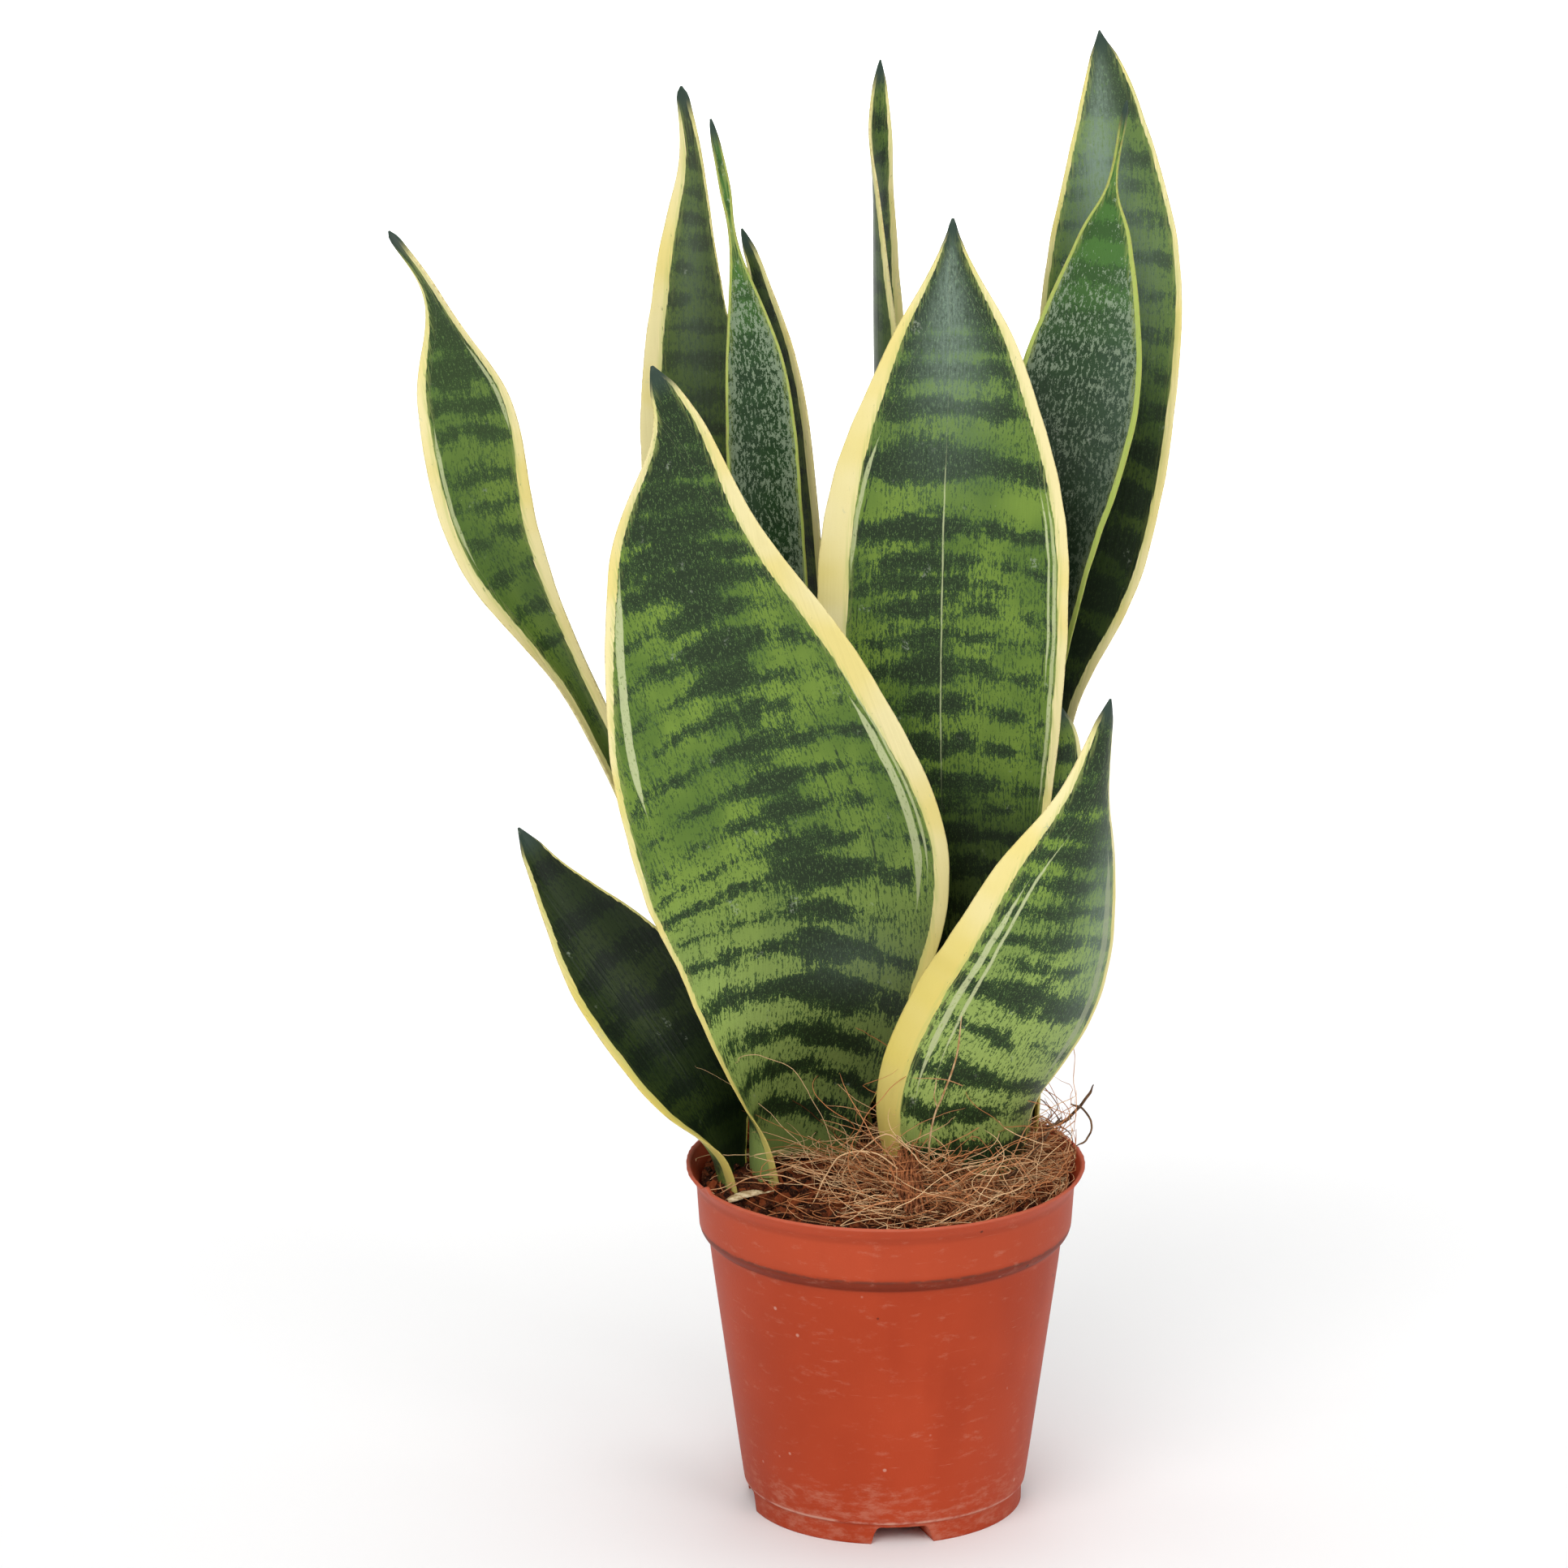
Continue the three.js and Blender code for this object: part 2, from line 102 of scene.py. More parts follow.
class Paint:
    """A procedural material, written node by node."""

    def __init__(self, name):
        self.material = bpy.data.materials.new(name)
        self.material.use_nodes = True
        self.tree = self.material.node_tree
        self.tree.nodes.clear()
        self.surface = self.tree.nodes.new("ShaderNodeBsdfPrincipled")
        out = self.tree.nodes.new("ShaderNodeOutputMaterial")
        self.tree.links.new(self.surface.outputs[0], out.inputs[0])

    def plug(self, socket, value):
        """Links a wire to the socket, or sets the value; a colour may be its six hex digits."""
        if isinstance(value, Wire):
            self.tree.links.new(value.socket, socket)
        else:
            socket.default_value = tone(value) if isinstance(value, str) else value

    def node(self, kind, settings, sockets, output=0):
        made = self.tree.nodes.new(kind)
        for name, value in settings.items():
            setattr(made, name, value)
        for key, value in sockets.items():
            self.plug(made.inputs[key], value)
        return Wire(self, made.outputs[output])

    def measure(self, name):
        """A vector that the mesh carries, as its three numbers."""
        vector = self.node("ShaderNodeAttribute", {"attribute_name": name}, {}, "Vector")
        return vector.axes()

    def join(self, x, y, z):
        return self.node("ShaderNodeCombineXYZ", {}, {0: x, 1: y, 2: z})

    def place(self, scale=1000.0):
        """Where the surface is in the object's own space, in millimetres."""
        spot = self.node("ShaderNodeTexCoord", {}, {}, "Object")
        sizes = {0: spot, 3: scale}
        return self.node("ShaderNodeVectorMath", {"operation": "SCALE"}, sizes)

    def grain(self, vector, scale, detail=2.0, rough=0.5):
        sockets = {"Vector": vector, "Scale": scale, "Detail": detail, "Roughness": rough}
        return self.node("ShaderNodeTexNoise", {}, sockets)

    def cells(self, vector, scale):
        return self.node("ShaderNodeTexVoronoi", {}, {"Vector": vector, "Scale": scale})

    def blend(self, share, first, second):
        """A colour between two colours."""
        sockets = {0: share, 6: first, 7: second}
        return self.node("ShaderNodeMix", {"data_type": "RGBA"}, sockets, 2)

    def coats(self, colour, *layers):
        """Lays thin coats over a colour; each is how much of it shows, and its colour."""
        for share, coat in layers:
            colour = self.blend(share, colour, coat)
        return colour

    def bump(self, height, distance, strength=1.0):
        sockets = {"Height": height, "Distance": distance, "Strength": strength}
        return self.node("ShaderNodeBump", {}, sockets)

    def finish(self, colour, rough, gloss=0.5, relief=None):
        """Fills the surface's sockets and gives the material back."""
        sockets = {"Base Color": colour, "Roughness": rough, "Specular IOR Level": gloss}
        if relief:
            sockets["Normal"] = relief
        for name, value in sockets.items():
            self.plug(self.surface.inputs[name], value)
        return self.material


# ---- meshes

def put(name, data):
    """A new object in the scene, holding a mesh, light or camera."""
    made = bpy.data.objects.new(name, data)
    bpy.context.scene.collection.objects.link(made)
    return made


def make_piece(name, points, faces, material, stands_for=(), smooth=True):
    """A mesh piece from points in millimetres, riding on the plant's one body."""
    mesh = bpy.data.meshes.new(name)
    flat = np.asarray(points, float) * MM
    mesh.from_pydata(flat.tolist(), [], [list(f) for f in faces])
    mesh.update()
    mesh.polygons.foreach_set("use_smooth", [smooth] * len(mesh.polygons))
    mesh.materials.append(material)
    piece = put(name, mesh)
    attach(piece, ROOT)
    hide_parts(*stands_for)
    return piece


def carry(piece, name, vectors):
    """Stores one vector for each of the piece's points, for its material to read."""
    held = piece.data.attributes.new(name, "FLOAT_VECTOR", "POINT")
    held.data.foreach_set("vector", np.asarray(vectors, np.float32).ravel())


def grid(rows, ring, base=0):
    """Quads between rows of points, each row a closed ring."""
    return [(base + i * ring + k, base + i * ring + (k + 1) % ring,
             base + (i + 1) * ring + (k + 1) % ring, base + (i + 1) * ring + k)
            for i in range(rows - 1) for k in range(ring)]


def spline(rows, t):
    """Uniform Catmull-Rom through rows at parameters t, the ends carried straight on."""
    rows = np.asarray(rows, float)
    ends = np.vstack([2 * rows[0] - rows[1], rows, 2 * rows[-1] - rows[-2]])
    t = np.clip(np.asarray(t, float), 0, len(rows) - 1 - 1e-9)
    i = t.astype(int)
    f = (t - i)[:, None]
    p0, p1, p2, p3 = ends[i], ends[i + 1], ends[i + 2], ends[i + 3]
    return 0.5 * (2 * p1 + (p2 - p0) * f + (2 * p0 - 5 * p1 + 4 * p2 - p3) * f ** 2
                  + (3 * p1 - p0 - 3 * p2 + p3) * f ** 3)


def unit(v):
    return v / np.linalg.norm(v, axis=-1, keepdims=True)


def wander(x, y, z, seed):
    """Smooth repeatable noise from about -1 to 1."""
    return noise.noise((x + 17.3 * seed, y - 9.1 * seed, z + 3.7 * seed))


# ---- leaves

THICKNESS = [(0.0, 3.2), (0.5, 2.2), (1.0, 1.2)]  # share of the length, millimetres
EDGE = 0.8          # thickness at a leaf's edges
COLUMNS = 57        # points across each face of a leaf
ROW_STEP = 1.9      # length from row to row
SAMPLES = 1200      # fine steps used to measure a leaf's length
FINE_TIP, BLUNT_TIP = 7, 3      # length over which a tip closes
SHARPNESS = 24      # how late a leaf's thickness rounds off toward its edges
BAND_REACH = 7      # distance beyond which nearness to a band no longer counts

# Stations from foot to tip, in millimetres and degrees:
# x, y, z, half width, facing azimuth, cup, width of the margin at s = -1, at s = +1.
LEAVES = {
    "leaf_front_broad": [
        (-32.3, 17.1, 84, 18, -45, 100, 2.4, 0), (-33.9, 15.2, 104, 26, -45, 100, 2.4, 0),
        (-30, 15, 126, 28, -60, 75, 2, 0), (-25, 8, 160, 36, -84, 34, 1.6, 3.4),
        (-27, 1, 200, 46.5, -88, 24, 1.7, 4.8), (-42, -7, 250, 42.5, -93, 22, 1.9, 8),
        (-57, -13, 300, 26, -95, 24, 3, 7.2), (-61, -16, 338, 9, -88, 30, 1.6, 2.8),
        (-69, -17, 359, 1.8, -80, 30, 0.1, 0.3),
    ],
    "leaf_centre_tall": [
        (20, 11, 84, 13, -90, 60, 4, 1), (20, 13, 110, 15, -90, 45, 4, 1),
        (18, 16, 160, 22.5, -90, 25, 6, 1.5), (16, 16, 230, 35, -90, 14, 8, 2.4),
        (17, 14, 300, 36.5, -90, 12, 9, 3.4), (19, 13, 350, 22.5, -90, 12, 4.5, 3.6),
        (19, 12, 385, 4.5, -90, 20, 0.8, 0.8), (19, 12, 396, 1.2, -90, 40, 0.1, 0.1),
    ],
    "leaf_front_small": [
        (24, -5, 84, 20, 98, 65, 1.5, 9), (22, -7, 108, 25, 98, 55, 1.5, 9),
        (25, -13, 135, 28, 102, 40, 2, 9), (42, -21, 170, 29.5, 110, 36, 2.4, 8.5),
        (52, -27, 205, 22, 118, 32, 2.4, 6.5), (59, -30, 233, 9.5, 125, 28, 1.6, 3),
        (65, -31, 262, 1.5, 130, 30, 0.1, 0.3),
    ],
    "leaf_left_low": [
        (-44, -3, 84, 9, -10, 45, 3, 0.6), (-47.7, -1.3, 104, 12.2, -9, 45, 3, 0.6),
        (-50.8, 0.6, 115, 14.2, -24.5, 42, 3, 0.6), (-57, 3, 130, 19, -48, 35, 3, 0.6),
        (-80, 12, 163, 18, -60, 25, 2.6, 0.6),
        (-100, 17, 190, 7, -62, 20, 1.4, 0.5), (-110, 20, 206, 1.5, -60, 20, 0.3, 0.1),
    ],
    "leaf_far_left": [
        (-28, 33, 84, 8, -70, 95, 1.5, 2), (-34, 34, 110, 8.5, -70, 95, 1.5, 2),
        (-63, 38, 180, 6.5, -75, 90, 2, 3.4), (-90, 40, 240, 6, -85, 75, 2.6, 4),
        (-116, 36, 290, 13.5, -90, 22, 3.4, 4.2), (-125, 30, 335, 14.5, -100, 16, 3, 2.4),
        (-134, 26, 368, 3.8, -130, 14, 1, 2), (-147, 24, 389, 2, -140, 10, 0.2, 0.9),
    ],
    "leaf_rear_left_tall": [
        (-17, 41, 84, 9, -90, 70, 3, 1), (-20, 43, 110, 10.5, -90, 55, 3, 1),
        (-38, 47, 180, 13, -92, 30, 4, 0.5), (-50, 48, 250, 16.5, -92, 20, 5, 0.3),
        (-57, 46, 320, 16.5, -90, 16, 6, 0.3), (-59, 43, 370, 10, -95, 14, 4.4, 0.3),
        (-58, 41, 405, 4.5, -125, 12, 2.6, 0.5), (-61, 40, 429, 1.9, -130, 10, 0.2, 1),
    ],
    "leaf_young_left": [
        (-8, 29, 84, 7.5, -90, 100, 0.7, 0.7), (-10, 30, 110, 7.5, -90, 85, 0.7, 0.7),
        (-26, 30, 200, 9.5, -85, 50, 0.7, 0.7), (-35, 28, 290, 11.5, -85, 40, 0.7, 0.7),
        (-39, 26, 345, 9.5, -85, 40, 0.6, 0.6), (-45, 25, 383, 1.3, -85, 40, 0.4, 0.4),
        (-48, 24, 403, 1.4, -85, 40, 0.2, 0.2), (-52, 24, 423, 0.8, -85, 40, 0, 0),
    ],
    "leaf_cradle_left": [
        (5, 40, 84, 9, -110, 85, 2, 4), (0, 40, 110, 9, -110, 75, 2, 4),
        (-18, 39, 200, 8.5, -115, 50, 2, 4), (-26, 37, 290, 10.5, -125, 35, 2, 4),
        (-31, 35, 340, 7.5, -122, 25, 1.5, 2.5), (-38, 33, 372, 3, -115, 20, 0.8, 1.2),
        (-43, 31, 388, 1.2, -100, 20, 0.2, 0.3),
    ],
    "leaf_rear_centre": [
        (20, 41, 84, 6.5, -80, 80, 1.4, 2), (17, 42, 110, 8, -60, 75, 1.4, 2),
        (7, 43, 180, 11, -25, 65, 1.5, 2.6), (0, 43, 260, 14, -8, 65, 1.6, 3),
        (-2, 42, 340, 15, -5, 62, 1.8, 3.4), (-2.5, 42, 375, 12, -8, 50, 1.8, 3),
        (-2.5, 41, 400, 7.5, -20, 38, 1.5, 2), (-2.5, 41, 420, 3.8, -55, 25, 0.9, 1),
        (-2, 40, 437, 1.1, -60, 20, 0.2, 0.2),
    ],
    "leaf_rear_right_tall": [
        (38, 28, 84, 8, -112, 75, 1.5, 2), (40, 30, 110, 9.5, -110, 65, 1.5, 2),
        (44, 37, 190, 10, -112, 50, 1.6, 2.6), (48, 38, 240, 11, -108, 38, 1.7, 2.8),
        (59, 38, 285, 19.5, -104, 28, 1.6, 2.8), (65, 37, 335, 21.5, -96, 18, 1.5, 2.4),
        (67, 35, 380, 19.5, -90, 14, 1.4, 1.6), (65, 32, 425, 9, -88, 14, 1.1, 1),
        (62, 31, 448, 1.2, -88, 14, 0.1, 0.1),
    ],
    "leaf_young_right": [
        (24, 27, 84, 6.5, -90, 100, 1, 1), (26.5, 26.5, 110, 6.5, -92, 90, 1, 1),
        (35.5, 25.5, 200, 7.5, -96, 50, 1.2, 1.3), (46, 24.5, 280, 13.5, -94, 40, 1.4, 1.6),
        (56, 23, 340, 19.5, -88, 36, 1.4, 1.7), (63, 22, 385, 9.5, -85, 40, 1, 1.2),
        (66, 22, 404, 1.3, -85, 40, 0.2, 0.2), (70, 22, 429, 0.8, -85, 40, 0, 0),
    ],
    "leaf_right_low": [
        (39, 13, 84, 5, 160, 50, 2, 2), (40.5, 14, 110, 6, 155, 45, 2, 2),
        (47, 18.5, 165, 8.5, 135, 35, 2.6, 2.6), (51.5, 20, 205, 9, 118, 25, 3, 3),
        (53, 19, 230, 6, 112, 20, 2, 2), (51, 18.5, 246, 1.2, 112, 20, 0.3, 0.3),
    ],
}
YOUNG = ("leaf_young_left", "leaf_young_right")

# Dark bands across a leaf: height of the midrib there, and thickness, in millimetres.
BANDS = {
    "leaf_front_broad": [
        (120, 6), (132, 5), (144, 5), (159, 7), (174, 5), (186, 2), (198, 5), (208, 2.4),
        (218, 3), (228, 2), (240, 4.5), (251, 2.2), (261, 2.8), (272, 4), (283, 2.8),
        (294, 5), (302, 5), (311, 6), (320, 7), (330, 8), (342, 14), (356, 12),
    ],
    "leaf_centre_tall": [
        (110, 8), (122, 6), (134, 6), (146, 5), (158, 5), (170, 5), (182, 4), (194, 5), (205, 4),
        (213, 1), (222, 1.4), (233, 3), (244, 3), (256, 3.2), (267, 2.2), (276, 3), (284, 2.2),
        (291, 3.4), (302, 4), (322.5, 8.5), (339.5, 5), (350.5, 4), (359, 4), (371, 13),
        (384, 14), (396, 10),
    ],
    "leaf_front_small": [
        (112, 9), (128, 4), (140, 5), (153, 1), (166, 6.5), (176, 1.5), (184, 3.4), (194, 3.4),
        (203, 4), (213, 5), (222, 6), (233, 8), (246, 10), (260, 8),
    ],
    "leaf_far_left": [
        (110, 5), (128, 5), (146, 5), (164, 5), (182, 4), (200, 4), (218, 4), (236, 4),
        (248, 3), (259, 3.6), (269, 3.6), (280, 4), (292, 4.5), (302, 4), (312, 5),
        (326, 5), (335, 6), (346, 8), (358, 10), (372, 14), (386, 14),
    ],
    "leaf_rear_left_tall": [
        (112, 6), (126, 6), (140, 6), (155, 6), (170, 5), (186, 6), (203, 6), (220, 6), (237, 6),
        (253, 6), (269, 6), (285, 6), (300, 6), (312, 6), (323, 5), (333, 5), (345, 5),
        (355, 4), (364, 4), (373, 4), (381, 4), (388, 4), (396, 4), (405, 5), (416, 12),
    ],
    "leaf_rear_right_tall": [
        (112, 9), (128, 9), (145, 9), (162, 9), (180, 9), (198, 9), (214, 8), (230, 8),
        (246, 8), (262, 8), (278, 7), (292, 7), (306, 7), (320, 6), (333, 6), (345, 5),
        (356, 5), (368, 4), (379, 4), (390, 5), (400, 4), (408, 6), (427, 9), (440, 12),
    ],
}

# Pale or dark lines that run with a leaf's fibres, and painted highlights (the sheen kind):
# the edge they are measured from, how far in at the lower and the upper end, the heights of
# both ends, half width, kind.
STREAKS = {
    "leaf_front_broad": [
        ("low", 7.8, 3.4, 230, 302, 1.3, "pale"),
        ("high", 9.3, 10.5, 184, 250, 1.3, "pale"),
        ("high", 6.6, 8.4, 190, 262, 0.5, "pale"),
        ("high", 6.2, 8.4, 200, 290, 0.35, "dash"),
        ("high", 22, 24, 180, 262, 0.4, "dash"),
        ("high", 31, 30, 175, 240, 0.35, "dash"),
    ],
    "leaf_centre_tall": [
        ("midrib", 0.5, -0.6, 212, 332, 0.26, "pale"),
        ("high", 3.4, 4.6, 210, 320, 0.6, "pale"),
        ("high", 5.6, 6.2, 250, 318, 0.4, "pale"),
        ("low", 10, 9.6, 285, 330, 0.7, "pale"),
        ("low", 12.6, 11.4, 230, 335, 0.3, "dash"),
        ("high", 6.4, 7.0, 225, 320, 0.35, "dash"),
    ],
    "leaf_front_small": [
        ("high", 13, 11, 128, 205, 0.9, "pale"),
        ("high", 17, 12, 135, 222, 0.5, "pale"),
        ("high", 10.4, 9.4, 118, 215, 0.5, "dash"),
        ("low", 6.5, 5, 140, 215, 1.4, "sheen"),
    ],
    "leaf_far_left": [
        ("high", 3.4, 3.6, 325, 355, 0.7, "pale"),
        ("low", 4.6, 4.2, 285, 330, 0.6, "pale"),
    ],
}

# How shaded the flesh is: height, then strength at s = -1 and at s = +1.
GLOOM = {
    "leaf_front_broad": [
        (84, 0.3, 1), (140, 0.1, 0.95), (165, 0, 0.8), (195, 0, 0.3), (225, 0, 0)],
    "leaf_centre_tall": [
        (84, 1, 1), (185, 1, 1), (205, 0.8, 0.75), (225, 0.35, 0.1), (255, 0.1, 0)],
    "leaf_front_small": [(84, 0.9, 0.4), (110, 0.6, 0.1), (140, 0.2, 0), (180, 0, 0)],
    "leaf_left_low": [(84, 1.1, 1.15), (140, 1.1, 1.15), (206, 1.05, 1.1)],
    "leaf_far_left": [(84, 1, 1), (230, 0.75, 0.8), (265, 0.2, 0.4), (300, 0.1, 0.2), (389, 0, 0)],
    "leaf_rear_left_tall": [(84, 1, 1), (280, 0.85, 0.95), (340, 0.35, 0.6), (429, 0.2, 0.3)],
    "leaf_young_left": [(84, 1, 1), (230, 0.9, 0.8), (290, 0.55, 0.3), (350, 0.15, 0)],
    "leaf_cradle_left": [(84, 1, 1), (388, 0.9, 0.8)],
    "leaf_rear_centre": [(84, 1, 1), (340, 0.9, 0.7), (400, 0.7, 0.4), (437, 0.4, 0.3)],
    "leaf_rear_right_tall": [
        (84, 1, 1), (280, 1, 1), (320, 0.85, 0.9), (350, 0.25, 0.2), (380, 0, 0)],
    "leaf_young_right": [
        (84, 1, 1), (300, 1, 0.95), (330, 0.7, 0.55), (362, 0.2, 0.1), (385, 0, 0)],
    "leaf_right_low": [(84, 0.8, 0.8), (246, 0.3, 0.3)],
}
# The shade lies on a leaf's inner face, except on these, which turn the other face or both.
OUTER_SHOWS = ("leaf_front_small", "leaf_right_low")
BOTH_SHOW = ("leaf_rear_centre",)

# A greyer cast over a leaf's flesh, and how strong it is.
CAST = {
    "leaf_rear_left_tall": ("5d6045", 0.3),
    "leaf_rear_right_tall": ("6d8060", 0.15),
    "leaf_far_left": ("4d6a2e", 0.2),
}

# A darker zone up a leaf: foot height, where across, top height, where across, reach, strength.
SPINE = {
    "leaf_front_broad": (150, 8.0, 290, -4.0, 11.0, 4.4),
    "leaf_centre_tall": (215, -2.0, 320, -10.0, 14.0, 3.4),
    "leaf_front_small": (130, 3.0, 215, -3.0, 7.0, 1.4),
    "leaf_far_left": (290, 2.0, 345, 0.0, 6.0, 0.8),
}
# Leaves whose tips end less finely.
BLUNT = ("leaf_far_left", "leaf_rear_left_tall")

# Painted sheen, a bluish-white reflection on the flesh: middle height, reach, where across,
# strength.
PAINTED_SHEEN = {
    "leaf_centre_tall": [(376, 20, -0.1, 0.6), (350, 16, 0.0, 0.35), (322, 14, 0.0, 0.12)],
    "leaf_front_small": [(190, 30, -0.85, 0.5)],
    "leaf_rear_right_tall": [(405, 36, -0.3, 0.75), (370, 30, 0.3, 0.35)],
    "leaf_rear_left_tall": [(360, 40, 0.1, 0.25)],
    "leaf_young_right": [(330, 40, 0.75, 0.2)],
    "leaf_front_broad": [(168, 10, 0.45, 0.2)],
}

# More dark flesh: height, and how many millimetres the dark bands grow there.
DARKER = {
    "leaf_front_broad": [(84, 0.5), (150, -0.4), (270, -0.2), (290, 0.4), (325, 1.4), (345, 3)],
    "leaf_centre_tall": [(84, 1.5), (200, 0.8), (240, 0), (320, 0.3), (345, 1.2), (365, 2)],
    "leaf_front_small": [(84, 1), (200, 0.4), (225, 1.4), (250, 3)],
    "leaf_far_left": [(240, -0.6), (300, -0.6), (330, 0.1), (355, 2.5)],
    "leaf_rear_right_tall": [(300, 2.2), (350, 0), (400, -0.2), (415, 0.5), (430, 2.5)],
    "leaf_rear_left_tall": [(300, 0.4), (400, 0.2), (412, 2)],
}


def leaf_bands(name, seed):
    """The bands of a leaf, from its table or, for the others, at uneven steps."""
    if name in BANDS:
        return BANDS[name]
    rng = np.random.default_rng(seed)
    height = 108.0
    bands = []
    while height < 440:
        bands.append((height, rng.uniform(4, 7)))
        height += rng.uniform(10, 15)
    return bands


def table_at(table, height, column):
    heights = [row[0] for row in table]
    return float(np.interp(height, heights, [row[column] for row in table]))


def leaf_sections(name):
    """Rows of a leaf at even steps: its stations, facing, side and length so far."""
    table = np.array(LEAVES[name], float)
    fine = np.linspace(0, len(table) - 1, SAMPLES)
    line = spline(table, fine)
    run = np.concatenate([[0], np.cumsum(np.linalg.norm(np.diff(line[:, :3], axis=0), axis=1))])
    rows = int(run[-1] / ROW_STEP)
    t = np.interp(np.linspace(0, run[-1], rows), run, fine)
    data = spline(table, t)
    along = np.linspace(0, run[-1], rows)
    ahead = spline(table[:, :3], t + 0.004) - spline(table[:, :3], t - 0.004)
    up = unit(ahead)
    azimuth = np.radians(data[:, 4])
    facing = np.stack([np.cos(azimuth), np.sin(azimuth), 0 * azimuth], 1)
    facing = unit(facing - (facing * up).sum(1, keepdims=True) * up)
    side = np.cross(up, facing)
    return data, facing, side, along


def leaf_material(name, young):
    """Banded green with cream margins; the young leaves are silvery and finely speckled."""
    p = Paint(name + "_skin")
    across, along, face = p.measure("leaf_place")
    low_in, high_in, band = p.measure("leaf_pattern")
    low, high, height = p.measure("leaf_edges")
    # distance to the tip, then painted sheen and painted shade
    to_tip, painted_sheen, gloom = p.measure("leaf_tip_and_light")
    seed = float(sum(map(ord, name)) % 97)

    def marks(fine_across, fine_along, shift, detail=2.0, rough=0.5):
        """Noise stretched along the leaf; its seed is shifted so that no two agree."""
        spot = p.join(across * fine_across, along * fine_along, seed + shift)
        return p.grain(spot, 1.0, detail, rough)

    teeth = marks(0.8, 0.11, 0, 2.0, 0.6)
    fibres = marks(1.5, 0.09, 3, 3.0, 0.6)
    flecks = marks(1.7, 0.55, 5, 3.0, 0.7)
    broad = marks(0.11, 0.16, 9)
    clouds = marks(0.05, 0.03, 14)
    dust = marks(3.3, 2.0, 21, 2.0, 0.7)

    inside = (band + (teeth - 0.5) * 7.0 + (broad - 0.5) * 11.0 + (fibres - 0.5) * 4.0
              + (flecks - 0.5) * 13.0 + (dust - 0.5) * 5.0)
    dark = inside.rise(-0.2, 0.2)
    core = (inside + (flecks - 0.5) * 8.0).rise(0.2, 2.2)
    near = inside.rise(-4.2, -0.4) * (flecks + (fibres - 0.5) * 0.5).rise(0.535, 0.56)

    leafy = p.blend(clouds.rise(0.35, 0.65), "769238", "57742c")
    leafy = p.blend(height.rise(300.0, 350.0) * 0.6, leafy, "5a7538")
    if name != "leaf_left_low":
        leafy = p.blend(height.rise(225.0, 125.0) * 0.9, leafy, "a8bf68")
    leafy = p.coats(
        leafy,
        (dust.rise(0.45, 0.8) * 0.2, "4d6a2a"),
        (fibres.rise(0.45, 0.62) * 0.12, "567230"),
        (near.rise(0.3, 0.6) * 0.9, "334c24"),
    )
    deep = p.blend(core, "365026", "23331c")
    deep = p.blend((flecks * 0.7 + dust * 0.4).rise(0.605, 0.64) * 0.8, deep, "5b7a40")
    if young:
        speck = marks(1.1, 0.42, 61, 3.0, 0.75) + (dust - 0.5) * 0.3 + (broad - 0.5) * 0.25
        side = low.least(high).rise(8.0, 1.0) * 0.08 - to_tip.rise(62.0, 40.0) * 0.14
        silver = (speck + side).rise(0.54, 0.57)
        base = p.blend(to_tip.rise(80.0, 45.0), "2a4626", "466f30")
        base = p.blend(dark * 0.5, base, "20361f")
        green = p.blend(silver * 0.8, base, "93a588")
    else:
        green = p.blend(dark, leafy, deep)
    if name in CAST:
        code, strength = CAST[name]
        green = p.blend(strength, green, code)
    scuffs = marks(0.7, 1.3, 71, 4.0, 0.75)
    misty = (flecks * 0.6 + fibres * 0.4 + dust * 0.25).rise(0.42, 0.7)
    green = p.coats(
        green,
        (scuffs.rise(0.68, 0.73) * 0.6, "b3bd96"),
        # painted sheen: a bluish-white reflection, broken into patches
        (painted_sheen * (misty * 0.8 + 0.2), "8da393"),
    )

    for edge, foot_in, top_in, foot, top, half, kind in STREAKS.get(name, ()):
        start = {"low": low, "high": high, "midrib": across}[edge]
        share = (height - foot) * (1.0 / (top - foot))
        off = abs(start - (share * (top_in - foot_in) + foot_in) + (fibres - 0.5) * 0.7)
        ends = share.rise(-0.02, 0.25) * share.rise(1.02, 0.75)
        mask = (ends * half - off).rise(-0.1, 0.2)
        if kind == "dash":
            broken = marks(0.9, 0.3, 83, 2.0, 0.6)
            green = p.blend(mask * broken.rise(0.46, 0.54) * 0.85, green, "223322")
        elif kind == "pale":
            worn_out = (flecks + 0.1).rise(0.4, 0.55)
            green = p.blend(mask * worn_out * 0.85, green, "c3cb98")
        else:
            # the sheen kind: a painted highlight where the surface turns
            green = p.blend(mask * 0.6, green, "a4ab8c")

